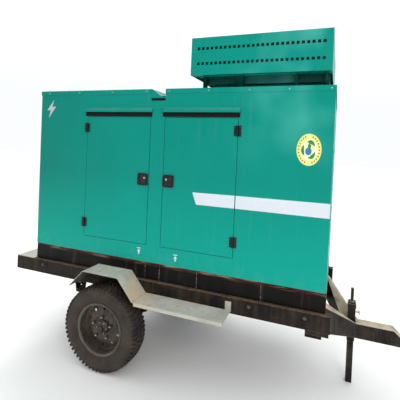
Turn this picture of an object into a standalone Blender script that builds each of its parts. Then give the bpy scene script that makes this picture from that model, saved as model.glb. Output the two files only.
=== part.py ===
"""Towable diesel generator: a soundproofed canopy on a two-wheel trolley with a drawbar and a prop jack.

Every shape is given in the machine's own frame: x runs forward from the canopy's rear face, y to the left
from the centre line, z up from the ground. The datum empty then puts the middle of the whole machine over
the origin.
"""

import math

import bmesh
import bpy
from mathutils import Matrix, Vector

# ---------------------------------------------------------------- driving dimensions, metres
GAP = 0.0003
WELD = 0.001

CANOPY_LENGTH = 2.76
CANOPY_WIDTH = 1.04
CANOPY_BASE = 0.92
CANOPY_HEIGHT = 1.50
CANOPY_TOP = CANOPY_BASE + CANOPY_HEIGHT
SIDE = CANOPY_WIDTH / 2
WALL = 0.04
SHEET = 0.004
LIP_DROP = 0.04

NOTCH_START = 1.25
NOTCH_FLOOR = 1.34
MODULE_SEAM = 1.3853
NOTCH_DEPTH = 0.06

SKID_HEIGHT = 0.15
SKID_BOTTOM = CANOPY_BASE - SKID_HEIGHT + GAP
SKID_SIDE = SIDE - 0.005

RAIL_HEIGHT = 0.125
RAIL_FLANGE = 0.065
RAIL_WEB = 0.006
RAIL_TOP = CANOPY_BASE - SKID_HEIGHT
RAIL_BOTTOM = RAIL_TOP - RAIL_HEIGHT
RAIL_OUT = SIDE + 0.03
RAIL_IN = RAIL_OUT - RAIL_FLANGE
RAIL_REAR = -0.22
RAIL_FRONT = 2.80

WHEEL_SIDES = 32
TYRE_RADIUS = 0.365
TYRE_HALF = 0.09
RIM_RADIUS = 0.222
AXLE_X = 0.96
AXLE_Z = TYRE_RADIUS * math.cos(math.pi / WHEEL_SIDES)
WHEEL_Y = RAIL_OUT + 0.1045
BEAM = 0.03

SPRING_REACH = 0.40
SPRING_RISE = 0.11
LEAF = 0.010
SPRING_Y = RAIL_OUT - 0.035
SPRING_HALF = 0.030

FENDER_OUT = 0.75
FENDER_SHEET = 0.005
STEP_Z = 0.67
STEP_END = 2.06

DOORS = {"rear": (0.575, 1.248), "front": (1.391, 2.040)}
DOOR_FOOT = CANOPY_BASE + 0.150
DOOR_HEAD = CANOPY_BASE + 1.255
DOOR_THICK = 0.030
DOOR_GAP = 0.004
KNUCKLE = 0.008
HINGE_HEIGHTS = (CANOPY_BASE + 0.275, CANOPY_BASE + 1.155)
HINGE_HALF = 0.042
LATCH_Z = CANOPY_BASE + 0.7175
LATCH_HALF = 0.0525

HOOD = (1.61, 2.728)
HOOD_FOOT = CANOPY_TOP + 0.105
HOOD_HEAD = CANOPY_TOP + 0.41
HOOD_HOLES = 27
HOLE = 0.023
HOLE_ROWS = (HOOD_FOOT + 0.093, HOOD_FOOT + 0.215)
VENT = (1.76, 2.65)
VENT_HALF = 0.34

BAR_TOP = 0.52
BAR_FOOT = 0.40
BAR_HALF = 0.05
BAR_REAR = 2.76
BAR_NOSE = 3.38
EYE_X = 3.46
EYE_RADIUS = 0.046
EYE_WIRE = 0.014
EYE_SIDES = 20
EYE_TIP = EYE_X + (EYE_RADIUS + EYE_WIRE) * math.cos(math.pi / EYE_SIDES)
REAR_TO_MIDDLE = (RAIL_REAR + EYE_TIP) / 2

JACK_X = 2.965
SLEEVE = 0.030
LEG = 0.025

ENGINE = (1.40, 2.12)
CRANK_Z = CANOPY_BASE + 0.42
FAN_Z = CANOPY_BASE + 0.66
FAN_X = 2.30
PULLEY_X = 2.21
PULLEY_THICK = 0.03

# ---------------------------------------------------------------- scene
for old in list(bpy.data.objects):
    bpy.data.objects.remove(old, do_unlink=True)

datum = bpy.data.objects.new("canopy_rear_datum", None)
datum.location = (-REAR_TO_MIDDLE, 0.0, 0.0)
bpy.context.scene.collection.objects.link(datum)


def finish(name, colour, roughness, metallic=0.0):
    """A Principled material in one plain colour."""
    material = bpy.data.materials.new(name)
    material.use_nodes = True
    shader = material.node_tree.nodes["Principled BSDF"]
    shader.inputs["Base Color"].default_value = (*colour, 1.0)
    shader.inputs["Roughness"].default_value = roughness
    shader.inputs["Metallic"].default_value = metallic
    material.diffuse_color = (*colour, 1.0)
    return material


GREEN = finish("teal_paint", (0.0, 0.29, 0.23), 0.35)
BLACK = finish("black_paint", (0.01, 0.009, 0.008), 0.5)
DUSTY = finish("dusty_chassis_paint", (0.045, 0.035, 0.028), 0.8)
PLATE = finish("bare_dusty_plate", (0.36, 0.35, 0.30), 0.8)
RUBBER = finish("tyre_rubber", (0.03, 0.027, 0.023), 0.9)
WHEEL_STEEL = finish("wheel_steel", (0.05, 0.045, 0.04), 0.6)
STEEL = finish("bright_steel", (0.5, 0.5, 0.5), 0.35, 1.0)
PLASTIC = finish("black_plastic", (0.012, 0.012, 0.012), 0.45)
ENGINE_PAINT = finish("engine_paint", (0.02, 0.05, 0.09), 0.45)
GREY = finish("grey_paint", (0.3, 0.31, 0.32), 0.45)
RED = finish("red_plastic", (0.6, 0.01, 0.01), 0.35)


# ---------------------------------------------------------------- shapes
AXES = {"x": (1, 2, 0), "y": (0, 2, 1), "z": (0, 1, 2)}


def closed(shape):
    bmesh.ops.recalc_face_normals(shape, faces=shape.faces[:])
    return shape


def block(x, y, z):
    """A box between the pairs of x, y and z."""
    shape = bmesh.new()
    centre = [(pair[0] + pair[1]) / 2 for pair in (x, y, z)]
    size = [abs(pair[1] - pair[0]) for pair in (x, y, z)]
    matrix = Matrix.Translation(centre) @ Matrix.Diagonal((*size, 1.0))
    bmesh.ops.create_cube(shape, size=1.0, matrix=matrix)
    return closed(shape)


def prism(outline, axis, low, high):
    """An outline in the plane across an axis, carried from low to high along it."""
    first, second, along = AXES[axis]
    shape = bmesh.new()
    corners = []
    for point in outline:
        place = [0.0, 0.0, 0.0]
        place[first], place[second], place[along] = point[0], point[1], low
        corners.append(shape.verts.new(place))
    face = shape.faces.new(corners)
    lifted = bmesh.ops.extrude_face_region(shape, geom=[face])["geom"]
    step = [0.0, 0.0, 0.0]
    step[along] = high - low
    moved = [item for item in lifted if isinstance(item, bmesh.types.BMVert)]
    bmesh.ops.translate(shape, verts=moved, vec=step)
    return closed(shape)


def turned(profile, axis, centre, sides=24, outward=1):
    """A profile of (radius, distance along the axis) turned round the axis, with a flat facet lowest."""
    first, second, along = AXES[axis]
    shape = bmesh.new()
    rings = []
    for radius, distance in profile:
        ring = []
        for side in range(sides if radius else 1):
            angle = 2 * math.pi * (side + 0.5) / sides - math.pi / 2
            place = list(centre)
            place[first] += radius * math.cos(angle)
            place[second] += radius * math.sin(angle)
            place[along] += outward * distance
            ring.append(shape.verts.new(place))
        rings.append(ring)
    pairs = list(zip(rings, rings[1:]))
    if profile[0][0] and profile[-1][0]:
        pairs.append((rings[-1], rings[0]))
    for ring, after in pairs:
        for side in range(sides):
            here, there = side, (side + 1) % sides
            corners = [ring[here % len(ring)], ring[there % len(ring)]]
            corners += [after[there % len(after)], after[here % len(after)]]
            shape.faces.new(list(dict.fromkeys(corners)))
    return closed(shape)


def rod(axis, centre, radius, length, sides=16):
    """A solid cylinder with its middle at centre."""
    half = length / 2
    return turned([(0, half), (radius, half), (radius, -half), (0, -half)], axis, centre, sides)


def hull(points):
    """The convex solid through the points."""
    shape = bmesh.new()
    for point in points:
        shape.verts.new(point)
    made = bmesh.ops.convex_hull(shape, input=shape.verts[:])
    bmesh.ops.delete(shape, geom=list(set(made["geom_unused"])), context="VERTS")
    return closed(shape)


def group(shapes):
    """Shapes that stay apart, as one mesh."""
    joined = bmesh.new()
    for shape in shapes:
        mesh = bpy.data.meshes.new("part_of_group")
        shape.to_mesh(mesh)
        joined.from_mesh(mesh)
        bpy.data.meshes.remove(mesh)
    return joined


def folded(points, thickness):
    """The outline of a bent sheet: points run along its top face, and the sheet lies under them."""
    corners = [Vector(point) for point in points]
    under = []
    for index, corner in enumerate(corners):
        before = (corner - corners[index - 1]).normalized() if index else None
        after = (corners[index + 1] - corner).normalized() if index + 1 < len(corners) else None
        sides = [Vector((run.y, -run.x)) for run in (before, after) if run]
        middle = sum(sides, Vector((0, 0))).normalized()
        under.append(corner + middle * (thickness / middle.dot(sides[0])))
    return [tuple(corner) for corner in corners + under[::-1]]


# ---------------------------------------------------------------- nodes
def stand(name, shape, pivot, parent):
    """An object whose origin is at the pivot."""
    mesh = bpy.data.meshes.new(name)
    bmesh.ops.translate(shape, verts=shape.verts[:], vec=-Vector(pivot))
    shape.to_mesh(mesh)
    shape.free()
    thing = bpy.data.objects.new(name, mesh)
    thing.parent = parent
    bpy.context.scene.collection.objects.link(thing)
    return thing


def node(name, material, base, add=(), cut=(), then_add=(), pivot=(0, 0, 0), round_piece=False):
    """One sub-part: a base shape, with shapes welded to it, cut from it, and welded on after the cuts."""
    thing = stand(name, base, pivot, datum)
    thing.location = pivot
    thing.data.materials.append(material)
    if round_piece:
        thing.data.shade_smooth()
        thing.data.set_sharp_from_angle(angle=math.radians(35))
    work = [("UNION", shape) for shape in add] + [("DIFFERENCE", shape) for shape in cut]
    work += [("UNION", shape) for shape in then_add]
    for index, (operation, shape) in enumerate(work):
        helper = stand(f"{name}_helper_{index}", shape, pivot, thing)
        helper.hide_render = True
        helper.display_type = "WIRE"
        modifier = thing.modifiers.new(operation.title(), "BOOLEAN")
        modifier.operation = operation
        modifier.object = helper
    return thing


def both_sides(low, high, hand):
    """A pair of y values on the right (hand -1) or left (hand 1) side."""
    return tuple(sorted((hand * low, hand * high)))


HANDS = {"right": -1, "left": 1}


# ---------------------------------------------------------------- trolley
def chassis_rail(side, hand):
    web, tip = hand * RAIL_OUT, hand * RAIL_IN
    inner_web = hand * (RAIL_OUT - RAIL_WEB)
    flange = 0.008
    outline = [
        (web, RAIL_BOTTOM), (web, RAIL_TOP), (tip, RAIL_TOP), (tip, RAIL_TOP - flange),
        (inner_web, RAIL_TOP - flange), (inner_web, RAIL_BOTTOM + flange),
        (tip, RAIL_BOTTOM + flange), (tip, RAIL_BOTTOM),
    ]
    node(f"{side}_chassis_rail", DUSTY, prism(outline, "x", RAIL_REAR, RAIL_FRONT))


def cross_members():
    reach = RAIL_IN - GAP
    low, high = RAIL_BOTTOM + 0.005, RAIL_TOP - 0.005
    for name, start in (("rear_cross_member", RAIL_REAR), ("centre_cross_member", 1.72)):
        node(name, DUSTY, block((start, start + 0.06), (-reach, reach), (low, high)))
    feet = [block((2.63, 2.79), both_sides(0.40, 0.545, hand), (RAIL_BOTTOM - 0.030, RAIL_BOTTOM - GAP))
            for hand in HANDS.values()]
    node("front_cross_member", DUSTY, block((2.62, 2.74), (-reach, reach), (0.56, high)), add=feet)
    platform = block((RAIL_REAR, -0.003), (-0.545, 0.545), (RAIL_TOP + GAP, RAIL_TOP + 0.0053))
    node("rear_platform", PLATE, platform)


def axle():
    beam = block((AXLE_X - BEAM, AXLE_X + BEAM), (-0.545, 0.545), (AXLE_Z - BEAM, AXLE_Z + BEAM))
    spindle = rod("y", (AXLE_X, 0, AXLE_Z), 0.025, 2 * (WHEEL_Y + 0.035))
    node("axle_beam", DUSTY, beam, add=[spindle])


def spring_height(reach):
    return AXLE_Z + BEAM + 0.0006 + 5 * LEAF + SPRING_RISE * (reach / SPRING_REACH) ** 2


def leaf_spring(side, hand):
    """A pack of five leaves, the longest on top with a rolled eye at each end."""
    steps = 8
    halves = [0.13, 0.20, 0.27, 0.335, SPRING_REACH]
    run = [SPRING_REACH * (2 * step / steps - 1) for step in range(steps + 1)]
    outline = [(AXLE_X + reach, spring_height(reach)) for reach in run]
    for level in range(5, 0, -1):
        half, inner = halves[level - 1], halves[level - 2] if level > 1 else 0.0
        under = (6 - level) * LEAF
        outline.append((AXLE_X + half, spring_height(half) - under))
        if level > 1:
            outline.append((AXLE_X + inner, spring_height(inner) - under))
    mirrored = [(2 * AXLE_X - x, z) for x, z in outline[steps + 1:]]
    outline += [(AXLE_X, spring_height(0) - 5 * LEAF)] + mirrored[::-1]
    y = both_sides(SPRING_Y - SPRING_HALF, SPRING_Y + SPRING_HALF, hand)
    eyes, bores = [], []
    for end in (-1, 1):
        centre = (AXLE_X + end * SPRING_REACH, hand * SPRING_Y, spring_height(SPRING_REACH) + 0.011)
        eyes.append(rod("y", centre, 0.022, 2 * SPRING_HALF, 14))
        bores.append(rod("y", centre, 0.0108, 0.1, 12))
    node(f"{side}_leaf_spring", BLACK, prism(outline, "y", *y), add=eyes, cut=[group(bores)])


def spring_hanger(name, end, hand):
    x = AXLE_X + end * SPRING_REACH
    eye_z = spring_height(SPRING_REACH) + 0.011
    inner, outer = SPRING_Y - 0.038, SPRING_Y + 0.038
    crown = block((x - 0.04, x + 0.04), both_sides(inner, outer, hand), (0.628, RAIL_BOTTOM - GAP))
    cheeks = []
    for low, high in ((inner, inner + 0.006), (outer - 0.006, outer)):
        outline = [(x - 0.035, 0.64), (x - 0.02, eye_z - 0.022), (x + 0.02, eye_z - 0.022), (x + 0.035, 0.64)]
        cheeks.append(prism(outline, "y", *both_sides(low, high, hand)))
    pin = rod("y", (x, hand * SPRING_Y, eye_z), 0.010, 0.088, 12)
    node(name, DUSTY, crown, add=[*cheeks, pin])


def axle_clamp(side, hand):
    """Two plates and four bolts that hold the spring down on the axle."""
    top = spring_height(0.085) + 0.001
    low = AXLE_Z - BEAM - 0.004
    y = both_sides(SPRING_Y - 0.045, SPRING_Y + 0.045, hand)
    x = (AXLE_X - 0.055, AXLE_X + 0.055)
    bolts = []
    for step_x in (-0.042, 0.042):
        for step_y in (-0.037, 0.037):
            place = (AXLE_X + step_x, hand * SPRING_Y + step_y, (top + low) / 2)
            bolts.append(rod("z", place, 0.0055, top - low + 0.06, 8))
    foot = block(x, y, (low - 0.012, low))
    node(f"{side}_axle_clamp", BLACK, block(x, y, (top, top + 0.012)), add=[*bolts, foot])


def wheel(side, hand):
    centre = (AXLE_X, hand * WHEEL_Y, AXLE_Z)
    half = [(0.2055, 0.064), (0.2235, 0.0685), (0.285, TYRE_HALF), (0.340, 0.083), (TYRE_RADIUS, 0.060)]
    inside = [(0.348, 0.048), (0.325, 0.070), (0.285, 0.076), (0.2055, 0.052)]
    outer = half + [(radius, -across) for radius, across in half[::-1]]
    inner = [(radius, -across) for radius, across in inside[::-1]] + inside
    node(f"{side}_tyre", RUBBER, turned(outer + inner, "y", centre, WHEEL_SIDES, hand),
         pivot=centre, round_piece=True)
    rim = [
        (RIM_RADIUS, 0.075), (RIM_RADIUS, 0.070), (0.2045, 0.066), (0.2045, -0.066), (RIM_RADIUS, -0.070),
        (RIM_RADIUS, -0.075), (0.200, -0.072), (0.200, -0.004), (0.170, 0.000), (0.120, 0.018),
        (0.062, 0.012), (0.062, 0.018), (0.118, 0.0245), (0.172, 0.006), (0.200, 0.003), (0.200, 0.070),
    ]
    nuts = []
    for number in range(5):
        angle = 2 * math.pi * number / 5 + math.pi / 2
        place = (AXLE_X + 0.09 * math.cos(angle), centre[1] + hand * 0.029, AXLE_Z + 0.09 * math.sin(angle))
        nuts.append(rod("y", place, 0.012, 0.018, 6))
    node(f"{side}_rim", WHEEL_STEEL, turned(rim, "y", centre, WHEEL_SIDES, hand), add=nuts,
         pivot=centre, round_piece=True)
    hub = [
        (0, 0.075), (0.026, 0.073), (0.030, 0.045), (0.045, 0.045), (0.058, 0.030), (0.058, 0.0112),
        (0.085, 0.0112), (0.085, -0.012), (0.055, -0.012), (0.055, -0.085), (0.0256, -0.085), (0.0256, 0.040),
        (0, 0.040),
    ]
    node(f"{side}_hub", BLACK, turned(hub, "y", centre, 20, hand), pivot=centre, round_piece=True)


def fender(side, hand):
    """A bent sheet over the tyre that runs on as a step board, with a stay up to the rail."""
    top = [(0.64, 0.69), (0.785, 0.84), (1.14, 0.84), (1.287, STEP_Z), (STEP_END, STEP_Z)]
    y = both_sides(RAIL_OUT + GAP, FENDER_OUT, hand)
    edge_y = both_sides(FENDER_OUT - 0.005, FENDER_OUT, hand)
    edge = block((1.30, STEP_END), edge_y, (STEP_Z - 0.03, STEP_Z - WELD))
    inside = RAIL_OUT + GAP
    stays = []
    for x in (1.42, STEP_END - 0.04):
        outline = [(inside, STEP_Z - WELD), (FENDER_OUT - 0.03, STEP_Z - WELD), (inside, 0.655 - 0.06)]
        stays.append(prism([(hand * a, b) for a, b in outline], "x", x, x + 0.006))
    lug_y = both_sides(inside, RAIL_OUT + 0.008, hand)
    lug = block((STEP_END - 0.05, STEP_END), lug_y, (STEP_Z - WELD, 0.74))
    node(f"{side}_fender", PLATE, prism(folded(top, FENDER_SHEET), "y", *y), add=[edge, *stays, lug])


def drawbar():
    nose = [(BAR_NOSE, BAR_FOOT), (BAR_NOSE, 0.44), (3.29, BAR_TOP)]
    profile = [(BAR_REAR, BAR_FOOT), *nose, (BAR_REAR, BAR_TOP)]
    opening = SLEEVE + GAP
    slot = block((JACK_X - opening, JACK_X + opening), (-opening, opening), (0.3, 0.6))
    node("tow_bar", DUSTY, prism(profile, "y", -BAR_HALF, BAR_HALF), cut=[slot])
    for side, hand in HANDS.items():
        start_x, end_y = 2.7403, hand * (BAR_HALF + GAP)
        points = [(start_x, hand * y, z) for y in (0.29, 0.39) for z in (0.56, RAIL_TOP - 0.005)]
        points += [(x, end_y, z) for x in (2.88, 3.02) for z in (BAR_FOOT + 0.005, BAR_TOP - 0.004)]
        node(f"{side}_drawbar_arm", DUSTY, hull(points))
    ring = [(EYE_RADIUS + EYE_WIRE * math.cos(turn), EYE_WIRE * math.sin(turn))
            for turn in (2 * math.pi * step / 8 for step in range(8))]
    height = (BAR_FOOT + 0.44) / 2
    shank_end = EYE_X - EYE_RADIUS
    shank = rod("x", ((BAR_NOSE + GAP + shank_end) / 2, 0, height), 0.016, shank_end - BAR_NOSE - GAP, 14)
    flange = rod("x", (BAR_NOSE + GAP + 0.005, 0, height), 0.0195, 0.010, 14)
    node("tow_eye", STEEL, turned(ring, "z", (EYE_X, 0, height), EYE_SIDES), add=[shank, flange],
         pivot=(BAR_NOSE, 0, height), round_piece=True)


def jack():
    outer = block((JACK_X - SLEEVE, JACK_X + SLEEVE), (-SLEEVE, SLEEVE), (0.36, 0.685))
    bore = LEG + 0.0006
    collar = block((JACK_X - 0.034, JACK_X + 0.034), (-0.034, 0.034), (0.640, 0.672))
    hollow = block((JACK_X - bore, JACK_X + bore), (-bore, bore), (0.3, 0.8))
    screw_z = 0.60
    screw_hole = rod("x", (JACK_X + SLEEVE, 0, screw_z), 0.0068, 0.02, 12)
    node("jack_sleeve", DUSTY, outer, add=[collar], cut=[hollow, screw_hole])
    pivot = (JACK_X, 0, 0)
    leg = block((JACK_X - LEG, JACK_X + LEG), (-LEG, LEG), (0.0, 0.662))
    inner = LEG - 0.005
    pipe = block((JACK_X - inner, JACK_X + inner), (-inner, inner), (-0.1, 0.60))
    handle = rod("z", (JACK_X, 0, 0.73), 0.0125, 0.14)
    node("jack_leg", DUSTY, leg, add=[handle], cut=[pipe], pivot=pivot)
    start = JACK_X + LEG + 0.0008
    stem = rod("x", (start + 0.02, 0, screw_z), 0.0062, 0.04, 12)
    cross = rod("y", (start + 0.034, 0, screw_z), 0.005, 0.08, 10)
    node("jack_clamp_screw", STEEL, stem, add=[cross], pivot=(start, 0, screw_z))


# ---------------------------------------------------------------- base and canopy
def base_skid():
    wall = 0.05
    outer = block((0.0, CANOPY_LENGTH), (-SKID_SIDE, SKID_SIDE), (SKID_BOTTOM, CANOPY_BASE))
    hollow = block((wall, CANOPY_LENGTH - wall), (-SKID_SIDE + wall, SKID_SIDE - wall), (0.5, 1.0))
    reach = SKID_SIDE - wall / 2
    beams = [block((x, x + 0.06), (-reach, reach), (0.80, CANOPY_BASE - 0.002))
             for x in (0.82, 1.22, 1.50, 2.02, 2.44)]
    node("base_skid", BLACK, outer, cut=[hollow], then_add=beams)


def fuel_tank():
    body = block((0.08, 0.78), (-0.44, 0.44), (0.785, 0.905))
    neck = rod("z", (0.68, -0.38, 0.95), 0.028, 0.11)
    node("fuel_tank", BLACK, body, add=[neck])
    pivot = (0.68, -0.38, 1.0053)
    cap = [(0, 0.028), (0.036, 0.026), (0.040, 0.018), (0.040, -0.012)]
    cap += [(0.0285, -0.012), (0.0285, 0.0), (0, 0.0)]
    node("fuel_cap", PLASTIC, turned(cap, "z", pivot, 20), pivot=pivot, round_piece=True)


def drip_rail(start, end, hand):
    foot = CANOPY_BASE + 1.300
    outline = [(SIDE - 0.01, foot + 0.040), (SIDE, foot + 0.040), (SIDE + 0.024, foot + 0.020),
               (SIDE + 0.024, foot), (SIDE - 0.01, foot)]
    return prism([(hand * y, z) for y, z in outline], "x", start, end)


def side_panel(side, hand):
    """One long wall of the canopy, with a rebated opening behind each door and a drip rail over it."""
    high = CANOPY_TOP - 0.005
    low = CANOPY_BASE + GAP
    outline = [
        (0, low), (CANOPY_LENGTH, low), (CANOPY_LENGTH, high), (MODULE_SEAM + 0.006, high),
        (MODULE_SEAM + 0.006, high - NOTCH_DEPTH - 0.001), (NOTCH_FLOOR, high - NOTCH_DEPTH - 0.001),
        (NOTCH_START, high), (0, high),
    ]
    rails, rebates, ways = [], [], []
    for start, end in DOORS.values():
        rails.append(drip_rail(start - 0.027, end + 0.018, hand))
        x = (start - DOOR_GAP, end + DOOR_GAP)
        z = (DOOR_FOOT - DOOR_GAP, DOOR_HEAD + DOOR_GAP)
        rebates.append(block(x, both_sides(SIDE - DOOR_THICK - 0.001, SIDE + 0.1, hand), z))
        inset = 0.022
        way_x = (x[0] + inset, x[1] - inset)
        ways.append(block(way_x, both_sides(SIDE - 0.1, SIDE, hand), (z[0] + inset, z[1] - inset)))
    node(f"{side}_side_panel", GREEN, prism(outline, "y", *both_sides(SIDE - WALL, SIDE, hand)),
         add=rails, cut=[group(rebates), group(ways)])


def door(side, hand, place):
    """A door with its hinge knuckles and the square pan of its latch. The free edges face each other."""
    start, end = DOORS[place]
    hinge_x, inward = (start, 1) if place == "rear" else (end, -1)
    free_x = end if place == "rear" else start
    axis_y = hand * (SIDE + KNUCKLE)
    pivot = (hinge_x, axis_y, DOOR_FOOT)
    leaf = block((start, end), both_sides(SIDE - DOOR_THICK, SIDE, hand), (DOOR_FOOT, DOOR_HEAD))
    extras = []
    for height in HINGE_HEIGHTS:
        z = (height - HINGE_HALF, height + HINGE_HALF)
        extras.append(rod("z", (hinge_x, axis_y, height), KNUCKLE - 0.0005, 2 * HINGE_HALF, 12))
        x = tuple(sorted((hinge_x + inward * 0.004, hinge_x + inward * 0.030)))
        extras.append(block(x, both_sides(SIDE - WELD, SIDE + 0.005, hand), z))
    latch_x = free_x - inward * (LATCH_HALF + 0.001)
    pan = block((latch_x - LATCH_HALF, latch_x + LATCH_HALF), both_sides(SIDE - WELD, SIDE + 0.003, hand),
                (LATCH_Z - LATCH_HALF, LATCH_Z + LATCH_HALF))
    name = f"{place}_{side}"
    node(f"{name}_door", GREEN, leaf, add=[*extras, pan], pivot=pivot)
    half = LATCH_HALF - 0.012
    paddle_y = SIDE + 0.003 + 0.006
    paddle = block((latch_x - half, latch_x + half), both_sides(paddle_y - 0.004, paddle_y + 0.004, hand),
                   (LATCH_Z - half, LATCH_Z + half))
    node(f"{name}_latch", PLASTIC, paddle, pivot=(latch_x, hand * paddle_y, LATCH_Z + half - 0.004))


def end_panels():
    reach = SIDE - WALL - GAP
    low, high = CANOPY_BASE + GAP, CANOPY_TOP - 0.005
    intake = (CANOPY_BASE + 0.32, CANOPY_BASE + 1.02)
    opening = block((-0.1, 0.1), (-0.36, 0.36), intake)
    blades = []
    for number in range(7):
        z = intake[0] + 0.05 + number * 0.1
        outline = [(0.006, z - 0.032), (0.010, z - 0.032), (0.036, z + 0.032), (0.032, z + 0.032)]
        blades.append(prism(outline, "y", -0.37, 0.37))
    rear_wall = block((0.002, WALL), (-reach, reach), (low, high))
    node("rear_end_panel", GREEN, rear_wall, cut=[opening], then_add=blades)
    front = CANOPY_LENGTH
    node("front_end_panel", GREEN, block((front - WALL, front - 0.002), (-reach, reach), (low, high)))


def roofs():
    out = SIDE + SHEET + GAP
    lip_z = (CANOPY_TOP - LIP_DROP, CANOPY_TOP - WELD)
    rear_x = -SHEET - GAP
    line = [(rear_x, CANOPY_TOP), (NOTCH_START, CANOPY_TOP), (NOTCH_FLOOR, CANOPY_TOP - NOTCH_DEPTH),
            (MODULE_SEAM - GAP, CANOPY_TOP - NOTCH_DEPTH)]
    lip_y = [both_sides(SIDE + GAP, out, hand) for hand in HANDS.values()]
    lips = [block((rear_x, NOTCH_START - 0.01), y, lip_z) for y in lip_y]
    lips.append(block((rear_x, -GAP), (-out, out), lip_z))
    node("rear_roof", GREEN, prism(folded(line, SHEET), "y", -out, out), add=lips)

    front_x = CANOPY_LENGTH + SHEET + GAP
    tray = block((MODULE_SEAM, front_x), (-out, out), (CANOPY_TOP - SHEET, CANOPY_TOP))
    lips = [block((MODULE_SEAM, front_x), y, lip_z) for y in lip_y]
    lips.append(block((front_x - SHEET, front_x), (-out, out), lip_z))
    step_z = (CANOPY_TOP - 0.052, CANOPY_TOP - WELD)
    lips.append(block((MODULE_SEAM, MODULE_SEAM + SHEET), (-out, out), step_z))
    collar = block((VENT[0] - 0.004, VENT[1] + 0.004), (-VENT_HALF - 0.004, VENT_HALF + 0.004),
                   (CANOPY_TOP - 0.002, CANOPY_TOP + 0.05))
    way = block(VENT, (-VENT_HALF, VENT_HALF), (CANOPY_TOP - 0.1, CANOPY_TOP + 0.2))
    node("front_roof", GREEN, tray, add=[*lips, collar], cut=[way])


def exhaust_hood():
    """A rain hood on posts over the roof vent, with two rows of square holes in each long side."""
    skin = 0.003
    outer = block(HOOD, (-SIDE, SIDE), (HOOD_FOOT, HOOD_HEAD))
    inner_y = SIDE - skin
    hollow = block((HOOD[0] + skin, HOOD[1] - skin), (-inner_y, inner_y), (HOOD_FOOT - 0.1, HOOD_HEAD - skin))
    first, last = HOOD[0] + 0.066, HOOD[1] - 0.062
    holes = []
    for number in range(HOOD_HOLES):
        x = first + (last - first) * number / (HOOD_HOLES - 1)
        for z in HOLE_ROWS:
            holes.append(block((x - HOLE / 2, x + HOLE / 2), (-1, 1), (z - HOLE / 2, z + HOLE / 2)))
    posts = []
    for x, wide in ((1.70, 0.03), (1.975, 0.07), (2.46, 0.02), (2.68, 0.03)):
        for hand in HANDS.values():
            posts.append(block((x, x + wide), both_sides(SIDE - 0.09, SIDE - 0.06, hand),
                               (CANOPY_TOP + GAP, HOOD_FOOT + 0.02)))
    for hand in HANDS.values():
        posts.append(block((HOOD[0] + 0.001, HOOD[1] - 0.001), both_sides(SIDE - 0.10, SIDE - 0.001, hand),
                           (HOOD_FOOT + 0.002, HOOD_FOOT + 0.006)))
    node("exhaust_hood", GREEN, outer, cut=[hollow, group(holes)], then_add=posts)


# ---------------------------------------------------------------- engine room
def engine():
    start, end = ENGINE
    base = CANOPY_BASE
    crankcase = block((start, end), (-0.17, 0.17), (base + 0.28, base + 0.72))
    extras = [
        block((start + 0.06, end - 0.05), (-0.13, 0.13), (base + 0.12, base + 0.29)),
        block((start + 0.02, end - 0.02), (-0.11, 0.11), (base + 0.71, base + 0.86)),
        block((start + 0.05, end - 0.05), (-0.08, 0.08), (base + 0.85, base + 0.93)),
        rod("x", (start + 0.021, 0, CRANK_Z), 0.235, 0.08, 28),
        block((start + 0.10, end - 0.08), (-0.25, -0.12), (base + 0.66, base + 0.74)),
        block((start + 0.12, start + 0.42), (0.16, 0.26), (base + 0.45, base + 0.60)),
        rod("z", (end - 0.16, -0.22, base + 0.44), 0.045, 0.20),
        block((end - 0.20, end - 0.12), (-0.23, -0.16), (base + 0.50, base + 0.56)),
    ]
    for x in (1.50, 2.02):
        extras.append(block((x, x + 0.06), (-0.30, 0.30), (base + 0.30, base + 0.34)))
        for hand in HANDS.values():
            extras.append(block((x, x + 0.06), both_sides(0.24, 0.30, hand), (base + GAP, base + 0.31)))
    node("engine_block", ENGINE_PAINT, crankcase, add=extras)


def alternator():
    base = CANOPY_BASE
    end = ENGINE[0] + 0.021 - 0.04 - GAP
    shell = [(0, 0.0), (0.20, 0.0), (0.235, 0.05), (0.235, 0.12)]
    shell += [(0.20, 0.16), (0.20, 0.52), (0.17, 0.58), (0, 0.58)]
    body = turned(shell, "x", (end, 0, CRANK_Z), 28, -1)
    extras = [block((end - 0.48, end - 0.18), (-0.16, 0.16), (CRANK_Z + 0.15, CRANK_Z + 0.34))]
    for x in (0.82, 1.22):
        for hand in HANDS.values():
            extras.append(block((x, x + 0.06), both_sides(0.10, 0.19, hand), (base + GAP, CRANK_Z - 0.05)))
    node("alternator", ENGINE_PAINT, body, add=extras)


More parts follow.
